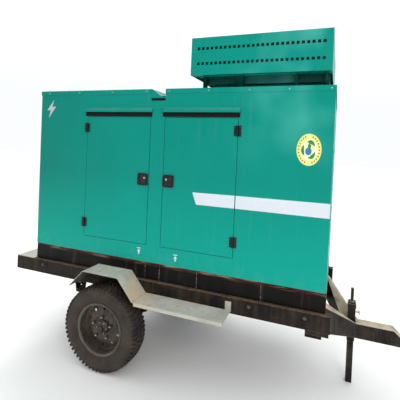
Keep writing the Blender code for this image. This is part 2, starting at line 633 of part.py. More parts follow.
def cooling():
    base = CANOPY_BASE
    core = block((2.42, 2.51), (-0.34, 0.34), (base + 0.20, base + 1.08))
    extras = [
        block((2.405, 2.525), (-0.36, 0.36), (base + 1.07, base + 1.20)),
        block((2.405, 2.525), (-0.36, 0.36), (base + 0.10, base + 0.21)),
        rod("z", (2.465, 0.20, base + 1.21), 0.025, 0.04),
    ]
    for hand in HANDS.values():
        extras.append(block((2.44, 2.50), both_sides(0.27, 0.33, hand), (base + GAP, base + 0.11)))
    node("radiator", BLACK, core, add=extras)

    pivot = (FAN_X, 0, FAN_Z)
    apart = PULLEY_X - FAN_X
    hub = [(0, 0.03), (0.055, 0.03), (0.055, -0.02), (0.03, -0.02), (0.03, apart + 0.02),
           (0.062, apart + 0.015), (0.062, apart - 0.015), (0, apart - 0.015)]
    blades = []
    for number in range(6):
        blade = hull([(along, across, reach) for reach in (0.04, 0.26) for along, across in
                      ((-0.020, -0.045), (-0.016, -0.048), (0.020, 0.045), (0.016, 0.048))])
        turn = Matrix.Translation(pivot) @ Matrix.Rotation(math.pi / 3 * number + 0.2, 4, "X")
        bmesh.ops.transform(blade, matrix=turn, verts=blade.verts[:])
        blades.append(blade)
    node("cooling_fan", PLASTIC, turned(hub, "x", pivot, 20), add=blades, pivot=pivot, round_piece=True)

    pulley_pivot = (PULLEY_X, 0, CRANK_Z)
    half = PULLEY_THICK / 2
    back = ENGINE[1] + GAP - PULLEY_X
    pulley = [(0, 0.03), (0.03, 0.03), (0.03, half), (0.082, half)]
    pulley += [(0.082, -half), (0.04, -half), (0.04, back), (0, back)]
    node("crank_pulley", STEEL, turned(pulley, "x", pulley_pivot, 24), pivot=pulley_pivot, round_piece=True)
    node("fan_belt", RUBBER, belt(0.011), cut=[belt(0.0012, 0.05)])


def belt(offset, half=0.012):
    """The belt's outline round both pulleys, this far outside them."""
    corners = []
    low, high = 0.082 + offset, 0.062 + offset
    for step in range(13):
        turn = math.pi + math.pi * step / 12
        corners.append((low * math.cos(turn), CRANK_Z + low * math.sin(turn)))
    for step in range(11):
        turn = math.pi * step / 10
        corners.append((high * math.cos(turn), FAN_Z + high * math.sin(turn)))
    return prism(corners, "x", PULLEY_X - half, PULLEY_X + half)


def silencer_and_filter():
    base = CANOPY_BASE
    body = [(0, 0.0), (0.07, 0.0), (0.10, 0.02), (0.10, 0.68), (0.07, 0.70), (0, 0.70)]
    centre = (1.60, 0.16, base + 1.24)
    tail = rod("z", (2.20, 0.16, base + 1.40), 0.035, 0.26)
    inlet = rod("z", (1.75, 0.16, base + 1.05), 0.035, 0.30)
    shell = turned(body, "x", centre, 24)
    node("silencer", GREY, shell, add=[tail, inlet], round_piece=True)
    air = [(0, 0.0), (0.085, 0.0), (0.085, 0.34), (0.04, 0.36), (0.04, 0.42), (0, 0.42)]
    node("air_filter", PLASTIC, turned(air, "x", (1.52, -0.19, base + 1.08), 22), round_piece=True)


def controls():
    base = CANOPY_BASE
    node("battery", PLASTIC, block((1.62, 1.92), (-0.46, -0.31), (base + GAP, base + 0.22)), add=[
        rod("z", (1.67, -0.42, base + 0.225), 0.009, 0.03, 10),
        rod("z", (1.87, -0.42, base + 0.225), 0.009, 0.03, 10),
    ])
    face = -0.44
    stop = (1.08, face - GAP, base + 0.90)
    node("control_panel", GREY, block((0.66, 1.16), (face, face + 0.14), (base + 0.80, base + 1.20)), add=[
        block((0.68, 0.92), (face - 0.006, face + 0.01), (base + 0.96, base + 1.17)),
    ], cut=[rod("y", stop, 0.0108, 0.03, 16)])
    button = [(0, 0.030), (0.014, 0.028), (0.020, 0.020), (0.020, 0.014)]
    button += [(0.010, 0.012), (0.010, 0.0), (0, 0.0)]
    node("emergency_stop", RED, turned(button, "y", stop, 20, -1), pivot=stop, round_piece=True)
    key = (1.08, face - GAP, base + 1.06)
    barrel = rod("y", (key[0], key[1] - 0.006, key[2]), 0.012, 0.012)
    blade_z = (key[2] - 0.011, key[2] + 0.011)
    blade = block((key[0] - 0.0015, key[0] + 0.0015), (key[1] - 0.034, key[1] - 0.011), blade_z)
    node("key_switch", STEEL, barrel, pivot=key, add=[blade])


for side_name, hand_sign in HANDS.items():
    chassis_rail(side_name, hand_sign)
    leaf_spring(side_name, hand_sign)
    spring_hanger(f"{side_name}_front_hanger", 1, hand_sign)
    spring_hanger(f"{side_name}_rear_hanger", -1, hand_sign)
    axle_clamp(side_name, hand_sign)
    wheel(side_name, hand_sign)
    fender(side_name, hand_sign)
    side_panel(side_name, hand_sign)
    for door_place in DOORS:
        door(side_name, hand_sign, door_place)
cross_members()
axle()
drawbar()
jack()
base_skid()
fuel_tank()
end_panels()
roofs()
exhaust_hood()
engine()
alternator()
cooling()
silencer_and_filter()
controls()
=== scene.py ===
"""Looks of the towable diesel generator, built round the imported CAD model.

All places come from the CAD nodes' boxes, in metres. "Right" is the -Y side, which the camera sees, and the
drawbar points along +X.
"""
import math

import bmesh
import bpy
from mathutils import Matrix, Vector


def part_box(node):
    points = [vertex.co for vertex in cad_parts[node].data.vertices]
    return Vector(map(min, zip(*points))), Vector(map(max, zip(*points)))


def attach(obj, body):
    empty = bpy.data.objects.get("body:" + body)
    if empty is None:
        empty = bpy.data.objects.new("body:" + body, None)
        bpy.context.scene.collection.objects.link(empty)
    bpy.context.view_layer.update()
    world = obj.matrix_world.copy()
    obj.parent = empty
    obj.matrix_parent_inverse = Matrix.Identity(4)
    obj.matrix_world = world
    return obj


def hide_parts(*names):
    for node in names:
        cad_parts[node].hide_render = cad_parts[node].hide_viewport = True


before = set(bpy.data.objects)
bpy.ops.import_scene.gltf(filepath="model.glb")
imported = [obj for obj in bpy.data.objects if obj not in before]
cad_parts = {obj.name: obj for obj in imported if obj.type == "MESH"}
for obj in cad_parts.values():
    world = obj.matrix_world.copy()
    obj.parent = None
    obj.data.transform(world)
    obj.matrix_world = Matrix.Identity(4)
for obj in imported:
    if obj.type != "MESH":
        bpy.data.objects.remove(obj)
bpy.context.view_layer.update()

# ---------------------------------------------------------------- places, from the CAD boxes
WALL = 0.04
DOOR_THICK = 0.030
PANEL_LOW, PANEL_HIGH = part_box("left_side_panel")
REAR, FRONT = PANEL_LOW.x, PANEL_HIGH.x
SIDE = PANEL_LOW.y + WALL
SKID_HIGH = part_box("base_skid")[1]
FOOT = SKID_HIGH.z
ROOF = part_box("rear_roof")[1].z
RAIL_LOW, RAIL_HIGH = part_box("left_chassis_rail")
HOOD_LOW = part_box("exhaust_hood")[0]
HOOD_FOOT = ROOF + 0.105
HANDS = {"right": -1, "left": 1}

# ---------------------------------------------------------------- the camera, its angles in degrees
CAMERA_PLACE = (REAR + 2.79, -SIDE - 2.403, FOOT + 0.996)
CAMERA_YAW, CAMERA_PITCH, CAMERA_ROLL = 18.832, -0.862, 2.552
CAMERA_SHIFT = (-0.0707, -0.1108)
FOCAL_LENGTH = 28.8


# ---------------------------------------------------------------- material nodes
def srgb(red, green, blue):
    """A linear colour from 8-bit display values."""
    shares = [value / 255 for value in (red, green, blue)]
    return tuple(s / 12.92 if s <= 0.04045 else ((s + 0.055) / 1.055) ** 2.4 for s in shares)


def scaled(colour, factor):
    return tuple(c * factor for c in colour)


class Look:
    """A Principled material whose nodes are added one by one."""

    def __init__(self, name, metallic=0.0, coat=0.0, coat_roughness=0.1, gloss=0.35):
        self.material = bpy.data.materials.new(name)
        self.material.use_nodes = True
        self.tree = self.material.node_tree
        self.shader = self.tree.nodes["Principled BSDF"]
        self.shader.inputs["Metallic"].default_value = metallic
        self.shader.inputs["Specular IOR Level"].default_value = gloss
        self.shader.inputs["Coat Weight"].default_value = coat
        self.shader.inputs["Coat Roughness"].default_value = coat_roughness
        self.place = self.add("TexCoord").outputs["Object"]
        geometry = self.add("NewGeometry")
        self.facing = self.add("SeparateXYZ", {0: geometry.outputs["Normal"]}).outputs
        self.axes = self.add("SeparateXYZ", {0: self.place}).outputs

    def add(self, kind, inputs=None, **settings):
        made = self.tree.nodes.new("ShaderNode" + kind)
        for key, value in settings.items():
            setattr(made, key, value)
        for key, value in (inputs or {}).items():
            self.put(made.inputs[key], value)
        return made

    def put(self, socket, value):
        if isinstance(value, bpy.types.NodeSocket):
            self.tree.links.new(value, socket)
        elif isinstance(value, tuple) and len(value) == 3 and socket.type == "RGBA":
            socket.default_value = (*value, 1.0)
        else:
            socket.default_value = value

    def calc(self, kind, first, second=0.0):
        return self.add("Math", {0: first, 1: second}, operation=kind).outputs[0]

    def plus(self, first, second):
        return self.calc("ADD", first, second)

    def times(self, first, second):
        return self.calc("MULTIPLY", first, second)

    def ramp(self, value, low, high, start=0.0, end=1.0):
        inputs = {"Value": value, "From Min": low, "From Max": high, "To Min": start, "To Max": end}
        return self.add("MapRange", inputs).outputs[0]

    def noise(self, scale, detail=4.0, rough=0.55, place=None):
        inputs = {"Vector": place or self.place, "Scale": scale, "Detail": detail, "Roughness": rough}
        return self.add("TexNoise", inputs).outputs["Fac"]

    def streaks(self, scale, detail=5.0):
        """Noise stretched by a scale for each axis."""
        place = self.add("Mapping", {"Vector": self.place, "Scale": scale}).outputs[0]
        return self.noise(1.0, detail, place=place)

    def patches(self, scale, low, high, detail=4.0, rough=0.55):
        """A share that rises from 0 to 1 where the noise passes from low to high."""
        return self.ramp(self.noise(scale, detail, rough), low, high)

    def varied(self, scale, least, most):
        """A value that wanders between least and most."""
        return self.ramp(self.noise(scale), 0.3, 0.7, least, most)

    def mix(self, share, first, second):
        made = self.add("Mix", data_type="RGBA")
        self.put(made.inputs[0], share)
        self.put(made.inputs[6], first)
        self.put(made.inputs[7], second)
        return made.outputs[2]

    def tint(self, base, colour, share, amount):
        """The base with the colour laid over it, by share, at most by amount."""
        return self.mix(self.times(share, amount), base, colour)

    def done(self, colour, roughness, height, strength=0.3, distance=0.001):
        self.put(self.shader.inputs["Base Color"], colour)
        self.put(self.shader.inputs["Roughness"], roughness)
        inputs = {"Height": height, "Strength": strength, "Distance": distance}
        self.put(self.shader.inputs["Normal"], self.add("Bump", inputs).outputs[0])
        return self.material


def mottled(look, colour, spread=0.12, scale=3.0):
    """The colour, varied lightly over large and small patches."""
    patches = look.plus(look.times(look.noise(scale), 0.7), look.times(look.noise(60), 0.3))
    return look.mix(look.ramp(patches, 0.35, 0.65), scaled(colour, 1 - spread), scaled(colour, 1 + spread))


def enamel(name, colour, edge=False):
    """Canopy paint: glossy, rippled sheet, darker towards the rear as painted shade, lighter near the foot
    as painted light, chalky patches high up that are partly a painted reflection, dusty low down and on
    ledges, with worn folds that are also lighter, partly dust and partly a painted highlight.
    """
    look = Look(name, coat=0.05, gloss=0.10)
    base = mottled(look, colour, 0.05, 1.3)
    # Darker towards the rear: painted shade.
    painted_rear_shade = look.ramp(look.axes[0], REAR, REAR + 1.1, 1.0, 0.0)
    base = look.tint(base, scaled(colour, 0.55), painted_rear_shade, 0.45)
    # Lighter towards the foot: painted light, as if thrown up from the floor.
    painted_floor_light = look.ramp(look.axes[2], FOOT + 0.75, FOOT + 0.1, 0.0, 0.75)
    base = look.mix(painted_floor_light, base, tuple(min(c * 1.45, 0.9) for c in colour))
    # Pale patches high up and towards the front: partly chalked paint, partly a painted reflection.
    chalk_and_reflection = look.times(look.patches(1.1, 0.50, 0.62, 3.0), look.ramp(look.axes[2], FOOT + 0.75, ROOF))
    chalk_and_reflection = look.times(chalk_and_reflection, look.ramp(look.axes[0], 0.2, 0.9))
    base = look.tint(base, srgb(88, 190, 178), chalk_and_reflection, 0.60)
    ledge = look.times(look.ramp(look.facing[2], 0.35, 0.9), look.patches(9, 0.3, 0.75))
    runs = look.ramp(look.streaks((38, 38, 1.2), 3.0), 0.62, 0.80)
    low = look.times(look.ramp(look.axes[2], FOOT + 0.16, FOOT), look.patches(14, 0.45, 0.8))
    dust = look.plus(look.plus(look.times(ledge, 0.22), look.times(runs, 0.05)), look.times(low, 0.07))
    base = look.mix(dust, base, srgb(176, 170, 150))
    # On the folds: a lighter teal that is partly dust and partly a painted highlight, then dark chips of
    # wear.
    if edge:
        base = look.mix(0.25, base, srgb(60, 190, 172))
        base = look.tint(base, srgb(92, 84, 74), look.patches(55, 0.60, 0.66, 5.0), 0.7)
    rough = look.ramp(look.plus(look.noise(7), dust), 0.2, 1.1, 0.24, 0.55)
    ripple = look.plus(look.times(look.noise(2.2, 1.0), 6.0), look.times(look.noise(260, 2.0), 0.05))
    return look.done(base, rough, ripple, 0.35, 0.0015)


def grimy(name, colour, dust, amount=0.5, edge=False):
    """Chassis paint under road dirt: dusty tops, vertical runs, blotches, and rust where it is chipped."""
    look = Look(name, gloss=0.1)
    base = mottled(look, colour, 0.35, 6.0)
    runs = look.ramp(look.streaks((30, 30, 2.5)), 0.48, 0.72)
    blotch = look.patches(5.0, 0.42, 0.70, 6.0, 0.65)
    top = look.times(look.ramp(look.facing[2], 0.3, 0.8), look.patches(11, 0.15, 0.55, 5.0))
    share = look.plus(look.times(runs, 0.35 * amount), look.times(blotch, 0.45 * amount))
    share = look.calc("MINIMUM", look.plus(share, look.times(top, 0.9)), 0.92)
    base = look.mix(share, base, dust)
    chips = look.patches(34, 0.52 if edge else 0.66, 0.72, 6.0, 0.6)
    base = look.tint(base, srgb(112, 66, 40), chips, 0.75)
    if edge:
        base = look.mix(look.patches(80, 0.45, 0.6), base, srgb(128, 118, 106))
    grit = look.plus(look.noise(180), look.times(look.noise(24, 5.0), 1.5))
    return look.done(base, look.ramp(share, 0.0, 0.8, 0.5, 0.9), grit, 0.45, 0.0012)


def skid_paint(name, edge=False):
    """Near-black base paint, with red-brown and tan dirt caught under the canopy's lower edge."""
    look = Look(name, gloss=0.12)
    base = mottled(look, srgb(14, 12, 11), 0.4, 5.0)
    band = look.ramp(look.axes[2], FOOT - 0.034, FOOT - 0.004)
    base = look.tint(base, srgb(98, 42, 34), look.times(band, look.patches(7.0, 0.36, 0.6, 5.0)), 0.85)
    tan = look.times(band, look.ramp(look.streaks((4, 4, 40), 6.0), 0.52, 0.66))
    base = look.tint(base, srgb(178, 156, 126), tan, 0.75)
    base = look.tint(base, srgb(120, 104, 90), look.ramp(look.streaks((22, 22, 3)), 0.56, 0.8), 0.16)
    if edge:
        base = look.mix(look.patches(50, 0.5, 0.65, 5.0), base, srgb(104, 92, 84))
    return look.done(base, look.varied(8, 0.38, 0.62), look.noise(90), 0.25)


def bare_plate(name, edge=False):
    """Weathered pale grey plate with rust, and tan mud near the fender's fold."""
    look = Look(name)
    base = mottled(look, srgb(186, 184, 174), 0.16, 8.0)
    base = look.tint(base, srgb(138, 142, 124), look.patches(3.5, 0.5, 0.7, 5.0), 0.4)
    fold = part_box("right_fender")[0].x + 0.647
    near = look.ramp(look.calc("ABSOLUTE", look.calc("SUBTRACT", look.axes[0], fold)), 0.22, 0.02)
    base = look.tint(base, srgb(205, 178, 148), look.times(near, look.patches(9.0, 0.36, 0.58, 5.0)), 0.85)
    base = look.tint(base, srgb(128, 88, 58), look.patches(13.0, 0.60, 0.70, 7.0, 0.65), 0.65)
    # Faces that look down are darkened: painted shade.
    base = look.tint(base, srgb(44, 36, 30), look.ramp(look.facing[2], -0.2, -0.7), 0.85)
    if edge:
        base = look.mix(0.35, base, srgb(104, 98, 86))
    height = look.plus(look.streaks((12, 90, 90), 6.0), look.noise(70))
    return look.done(base, look.varied(20, 0.5, 0.8), height)


def rubber(name, colour, dust, grain=220, amount=0.5):
    look = Look(name, gloss=0.2)
    base = mottled(look, colour, 0.25, 9.0)
    share = look.times(look.patches(7.0, 0.38, 0.72, 6.0, 0.62), amount)
    base = look.mix(share, base, dust)
    return look.done(base, look.ramp(share, 0.0, amount, 0.62, 0.9), look.noise(grain, 3.0), 0.25, 0.0008)


def worn_wheel(name):
    """Old black wheel enamel, dusty and spotted with rust."""
    look = Look(name, metallic=0.35)
    base = mottled(look, srgb(58, 52, 48), 0.3, 12.0)
    base = look.tint(base, srgb(112, 98, 84), look.patches(10.0, 0.42, 0.66, 6.0, 0.6), 0.55)
    base = look.tint(base, srgb(96, 52, 34), look.patches(26.0, 0.60, 0.70, 6.0, 0.65), 0.6)
    return look.done(base, look.varied(30, 0.34, 0.6), look.noise(60, 5.0))


def steel(name, colour, rough, stain=0.3):
    look = Look(name, metallic=0.9)
    base = mottled(look, colour, 0.15, 20.0)
    base = look.tint(base, srgb(104, 74, 52), look.patches(45.0, 0.56, 0.68, 6.0, 0.6), stain)
    brushed = look.streaks((400, 400, 30), 3.0)
    return look.done(base, look.varied(30, rough, rough + 0.2), brushed, 0.12, 0.0005)


def moulded(name, colour, rough=0.42, grain=500, dust=0.08):
    look = Look(name, gloss=0.3)
    base = mottled(look, colour, 0.15, 25.0)
    base = look.tint(base, srgb(150, 140, 125), look.patches(30.0, 0.4, 0.7), dust)
    return look.done(base, look.varied(40, rough - 0.06, rough + 0.1), look.noise(grain, 2.0), 0.15, 0.0004)


def powder(name, colour, rough=0.5):
    look = Look(name, coat=0.1, coat_roughness=0.3)
    base = mottled(look, colour, 0.07, 5.0)
    base = look.tint(base, scaled(colour, 0.35), look.patches(6.0, 0.52, 0.72, 6.0, 0.6), 0.3)
    return look.done(base, look.varied(18, rough - 0.1, rough + 0.12), look.noise(320, 3.0), 0.3, 0.0006)


def foam(name):
    """Egg-box acoustic foam, with painted shade in its hollows."""
    look = Look(name)
    base = mottled(look, srgb(46, 46, 48), 0.25, 14.0)
    waves = [look.calc("SINE", look.times(axis, 150.0)) for axis in look.axes]
    peaks = look.plus(look.plus(waves[0], waves[1]), waves[2])
    # Darker in the hollows of the egg-box: painted shade.
    base = look.mix(look.ramp(peaks, -2.0, 2.0), scaled(srgb(46, 46, 48), 0.4), base)
    return look.done(base, 0.95, look.plus(look.times(peaks, 2.0), look.noise(420, 3.0)), 0.8, 0.004)


def vinyl(name, colour):
    look = Look(name)
    base = mottled(look, colour, 0.04, 4.0)
    scuffed = tuple(c * 0.6 + 0.02 for c in colour)
    base = look.tint(base, scuffed, look.patches(16.0, 0.62, 0.75, 7.0, 0.7), 0.35)
    return look.done(base, look.varied(9, 0.3, 0.45), look.noise(30, 2.0), 0.1, 0.0005)


def fins(name):
    """A radiator core: fine upright fins crossed by flat tubes, with dark lines of painted shade in the gaps
    between the fins.
    """
    look = Look(name, metallic=0.6)
    comb = look.calc("SINE", look.times(look.axes[1], 1600.0))
    tubes = look.ramp(look.calc("SINE", look.times(look.axes[2], 420.0)), 0.5, 0.9)
    # Dark stripes between the fins: painted shade in the gaps.
    base = look.mix(look.ramp(comb, -1.0, 1.0), srgb(26, 26, 26), srgb(96, 96, 92))
    base = look.tint(base, srgb(120, 118, 108), tubes, 0.7)
    base = look.tint(base, srgb(120, 105, 86), look.patches(8, 0.5, 0.75, 5.0), 0.5)
    return look.done(base, look.varied(20, 0.4, 0.6), comb, 0.6, 0.002)


TEAL = srgb(0, 138, 124)
CHASSIS, ROAD_DUST = srgb(26, 23, 22), srgb(98, 80, 64)
BAR, BAR_DUST = srgb(31, 26, 26), srgb(206, 190, 166)
LOOKS = {
    "enamel": enamel("teal_enamel", TEAL),
    "enamel_edge": enamel("teal_enamel_folds", TEAL, edge=True),
    # A dark teal for the hood's posts and baffle: painted shade, for the shade under the hood's overhang.
    "sooty": enamel("painted_shade_enamel", srgb(6, 66, 60)),
    "rail": grimy("dusty_chassis_paint", CHASSIS, ROAD_DUST),
    "rail_edge": grimy("dusty_chassis_edges", CHASSIS, ROAD_DUST, edge=True),
    "bar": grimy("drawbar_paint", BAR, BAR_DUST, 0.12),
    "bar_edge": grimy("drawbar_edges", BAR, BAR_DUST, 0.12, edge=True),
    "under": grimy("underside_paint", srgb(36, 32, 30), srgb(96, 82, 68), 0.9),
    # The rim's outer lip: worn steel, made lighter all round as a painted sheen.
    "lip": grimy("worn_rim_lip_and_painted_sheen", srgb(86, 85, 80), srgb(84, 74, 64), 0.6),
    "cast": grimy("cast_manifold", srgb(92, 66, 50), srgb(130, 92, 62), 0.7),
    "skid": skid_paint("black_skid_paint"),
    "skid_edge": skid_paint("black_skid_edges", edge=True),
    "plate": bare_plate("weathered_plate"),
    "plate_edge": bare_plate("weathered_plate_edges", edge=True),
    "wheel": worn_wheel("worn_wheel_enamel"),
    "tyre": rubber("dusty_tyre", srgb(47, 43, 41), srgb(98, 84, 72)),
    "tread": rubber("tread_rubber", srgb(38, 35, 34), srgb(118, 104, 90), amount=0.35),
    "trim": rubber("black_trim_rubber", srgb(9, 10, 11), srgb(50, 48, 44), amount=0.1),
    "hose": rubber("hose_rubber", srgb(22, 22, 24), srgb(84, 78, 70), 90, 0.25),
    "belt": rubber("belt_rubber", srgb(26, 26, 27), srgb(70, 66, 60), 300, 0.3),
    "zinc": steel("zinc_plated_steel", srgb(176, 174, 168), 0.28),
    "dark_steel": steel("dark_steel", srgb(92, 88, 84), 0.38, 0.5),
    "brass": steel("brass_fittings", srgb(186, 150, 84), 0.3, 0.15),
    "plastic": moulded("black_plastic", srgb(20, 20, 22)),
    "hinge": moulded("hinge_black", srgb(10, 11, 14), 0.34, 300, 0.02),
    "red": moulded("red_plastic", srgb(196, 22, 22), 0.3, 700, 0.03),
    "yellow": moulded("yellow_plastic", srgb(232, 196, 30), 0.35, 700, 0.03),
    "screen": moulded("dark_screen", srgb(30, 42, 40), 0.12, 30, 0.02),
    "engine": powder("engine_enamel", srgb(58, 84, 98), 0.42),
    "cabinet": powder("grey_cabinet", srgb(148, 150, 152)),
    "wrap": powder("silencer_wrap", srgb(196, 190, 176), 0.8),
    "foam": foam("acoustic_foam"),
    "fins": fins("radiator_core"),
    "white": vinyl("white_vinyl", srgb(214, 221, 228)),
    "lime": vinyl("lime_vinyl", srgb(228, 232, 138)),
    "cream": vinyl("cream_vinyl", srgb(240, 244, 196)),
    "leaf": vinyl("leaf_vinyl", srgb(44, 140, 66)),
    "blue": vinyl("blue_vinyl", srgb(66, 112, 198)),
    "ochre": vinyl("ochre_vinyl", srgb(190, 122, 52)),
    "silver": vinyl("silver_vinyl", srgb(184, 186, 184)),
}


# ---------------------------------------------------------------- shapes
AXES = {"x": (1, 2, 0), "y": (0, 2, 1), "z": (0, 1, 2)}


def closed(shape):
    bmesh.ops.recalc_face_normals(shape, faces=shape.faces[:])
    return shape


def placed(shape, matrix):
    bmesh.ops.transform(shape, matrix=matrix, verts=shape.verts[:])
    return shape


def band(shape, ring, after):
    """The faces between two rings with as many corners each."""
    for side in range(len(ring)):
        there = (side + 1) % len(ring)
        shape.faces.new((ring[side], ring[there], after[there], after[side]))


def circle(count, start=0.0):
    """Evenly spaced angles, once round."""
    return [start + 2 * math.pi * number / count for number in range(count)]


def around(centre, radius, count, start=0.0, shift=0.0):
    """Places on a circle in the x-z plane, shifted along y."""
    return [(centre.x + radius * math.cos(turn), centre.y + shift, centre.z + radius * math.sin(turn))
            for turn in circle(count, start)]


def box(x, y, z):
    shape = bmesh.new()
    pairs = (x, y, z)
    size = [abs(pair[1] - pair[0]) for pair in pairs]
    centre = [(pair[0] + pair[1]) / 2 for pair in pairs]
    bmesh.ops.create_cube(shape, size=1.0, matrix=Matrix.Translation(centre) @ Matrix.Diagonal((*size, 1.0)))
    return closed(shape)


def prism(outline, axis, low, high):
    first, second, along = AXES[axis]
    shape = bmesh.new()
    rings = []
    for level in (low, high):
        ring = []
        for point in outline:
            place = [0.0, 0.0, 0.0]
            place[first], place[second], place[along] = point[0], point[1], level
            ring.append(shape.verts.new(place))
        rings.append(ring)
    shape.faces.new(rings[0])
    shape.faces.new(rings[1])
    band(shape, *rings)
    return closed(shape)


def lathe(profile, axis, centre, sides=48, outward=1):
    """A profile of (radius, distance along the axis) turned round the axis."""
    first, second, along = AXES[axis]
    shape = bmesh.new()
    rings = []
    for radius, distance in profile:
        ring = []
        for angle in circle(sides)[:sides if radius else 1]:
            place = list(centre)
            place[first] += radius * math.cos(angle)
            place[second] += radius * math.sin(angle)
            place[along] += outward * distance
            ring.append(shape.verts.new(place))
        rings.append(ring)
    pairs = list(zip(rings, rings[1:]))
    if profile[0][0] and profile[-1][0]:
        pairs.append((rings[-1], rings[0]))
    for ring, after in pairs:
        for side in range(sides):
            there = (side + 1) % sides
            corners = [ring[side % len(ring)], ring[there % len(ring)]]
            corners += [after[there % len(after)], after[side % len(after)]]
            shape.faces.new(list(dict.fromkeys(corners)))
    return closed(shape)


def rod(axis, centre, radius, length, sides=24, chamfer=0.0006):
    half = length / 2
    chamfer = min(chamfer, radius / 3, half / 3)
    profile = [(0, half), (radius - chamfer, half), (radius, half - chamfer)]
    profile += [(radius, chamfer - half), (radius - chamfer, -half), (0, -half)]
    return lathe(profile, axis, centre, sides)


def dome(axis, centre, radius, height, outward=1, sides=14):
    steps = 4
    turns = [math.pi / 2 * step / steps for step in range(steps)]
    profile = [(radius * math.cos(turn), height * math.sin(turn)) for turn in turns]
    return lathe([(0, -0.001), (radius, -0.001), *profile, (0, height)], axis, centre, sides, outward)


def bolt(axis, centre, radius, outward=1):
    """A hexagon head with a washer under it and a chamfered top."""
    flat_high, high, washer = radius * 0.75, radius * 0.75 * 1.15, (radius * 1.45, radius * 0.18)
    under = [(0, -0.001), (washer[0], -0.001), washer, (0, washer[1])]
    head = [(0, 0), (radius * 1.1, 0), (radius * 1.1, flat_high), (radius * 0.9, high), (0, high)]
    return [lathe(under, axis, centre, 20, outward), lathe(head, axis, centre, 6, outward)]


def picture_frame(x, z, y, width):
    """A rectangular ring in the x-z plane, width wide inwards, between the two y."""
    inner_x, inner_z = (x[0] + width, x[1] - width), (z[0] + width, z[1] - width)
    shape = bmesh.new()
    loops = []
    for (x0, x1), (z0, z1) in ((x, z), (inner_x, inner_z)):
        corners = ((x0, z0), (x1, z0), (x1, z1), (x0, z1))
        for level in y:
            loops.append([shape.verts.new((a, level, b)) for a, b in corners])
    for first, second in ((0, 1), (1, 3), (3, 2), (2, 0)):
        band(shape, loops[first], loops[second])
    return closed(shape)


def bead(start, end, radius=0.004):
    """A weld bead: overlapping ripples along a line."""
    start, end = Vector(start), Vector(end)
    run = end - start
    across = run.normalized().orthogonal().normalized()
    other = run.normalized().cross(across)
    count = max(4, int(run.length / 0.0035))
    shape = bmesh.new()
    rings = []
    for step in range(count + 1):
        size = radius * (0.78 + 0.22 * abs(math.sin(step * 1.1))) * (0.5 if step in (0, count) else 1.0)
        middle = start + run * step / count
        points = [middle + size * (math.cos(turn) * across + math.sin(turn) * other) for turn in circle(7)]
        rings.append([shape.verts.new(point) for point in points])
    for ring, after in zip(rings, rings[1:]):
        band(shape, ring, after)
    shape.faces.new(rings[0])
    shape.faces.new(rings[-1])
    return closed(shape)


def joined(shapes):
    whole = bmesh.new()
    for shape in shapes:
        mesh = bpy.data.meshes.new("part_of_whole")
        shape.to_mesh(mesh)
        shape.free()
        whole.from_mesh(mesh)
        bpy.data.meshes.remove(mesh)
    return whole


SHARP = math.radians(34)
PIERCED = ("door", "panel", "roof", "hood", "skid", "tow_bar", "sleeve", "leg", "block", "clamp")


def cad_shape(node):
    """The CAD node's surface, corners joined, with its flat faces made whole unless they hold openings."""
    shape = bmesh.new()
    shape.from_mesh(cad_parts[node].data)
    bmesh.ops.remove_doubles(shape, verts=shape.verts[:], dist=2e-5)
    if not any(word in node for word in PIERCED):
        flat_limit = math.radians(0.4)
        bmesh.ops.dissolve_limit(shape, angle_limit=flat_limit, verts=shape.verts[:], edges=shape.edges[:])
    return closed(shape)


def both(low, high, hand):
    """The span of y from low to high, on the left for hand 1 and on the right for hand -1."""
    return tuple(sorted((hand * low, hand * high)))


def moved(outline, centre):
    return [(centre[0] + a, centre[1] + b) for a, b in outline]


def linked(name, data):
    made = bpy.data.objects.new(name, data)
    bpy.context.scene.collection.objects.link(made)
    return made


# ---------------------------------------------------------------- pieces
def piece(name, shape, looks, body="frame", stands_for=None, bevel=0.0, segments=2, sort=None):
    """One visible piece, of one shape or a list of them. looks names its materials and sort(face) picks one
    for each face. bevel rounds its folds."""
    if isinstance(shape, list):
        shape = joined(shape)
    looks = [looks] if isinstance(looks, str) else list(looks)
    for face in shape.faces:
        face.material_index = sort(face) if sort else 0
        face.smooth = True
    mesh = bpy.data.meshes.new(name)
    shape.to_mesh(mesh)
    shape.free()
    made = linked(name, mesh)
    edge = f"{looks[0]}_edge"
    if bevel and edge in LOOKS and not sort:
        looks.append(edge)
    for look in looks:
        mesh.materials.append(LOOKS[look])
    if bevel:
        rounded = made.modifiers.new("Rounded folds", "BEVEL")
        rounded.width = bevel
        rounded.segments = segments
        rounded.limit_method = "ANGLE"
        rounded.angle_limit = math.radians(30)
        rounded.use_clamp_overlap = False
        rounded.miter_outer = "MITER_ARC"
        if looks[-1] == edge:
            rounded.material = len(looks) - 1
        made.modifiers.new("Even shading", "WEIGHTED_NORMAL").weight = 90
    else:
        mesh.set_sharp_from_angle(angle=SHARP)
    rides(made, body)
    if stands_for:
        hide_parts(stands_for)
    return made


def rides(made, body):
    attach(made, body)


def carved(made, shapes):
    """Cuts the shapes out of a piece for good, ahead of its bevel."""
    cutter_mesh = bpy.data.meshes.new("cutter")
    joined(shapes).to_mesh(cutter_mesh)
    cutter = linked("cutter", cutter_mesh)
    kept = [(m, m.show_viewport) for m in made.modifiers]
    for modifier, _ in kept:
        modifier.show_viewport = False
    cut = made.modifiers.new("Cut", "BOOLEAN")
    cut.operation = "DIFFERENCE"
    cut.object = cutter
    graph = bpy.context.evaluated_depsgraph_get()
    result = bpy.data.meshes.new_from_object(made.evaluated_get(graph), depsgraph=graph)
    made.modifiers.remove(cut)
    made.data = result
    for modifier, shown in kept:
        modifier.show_viewport = shown
    bpy.data.objects.remove(cutter)


def refined(node, look, bevel=0.0015, body="frame"):
    """The CAD node's own shape with rounded folds and its finish."""
    return piece(f"{node}_skin", cad_shape(node), look, body, node, bevel)


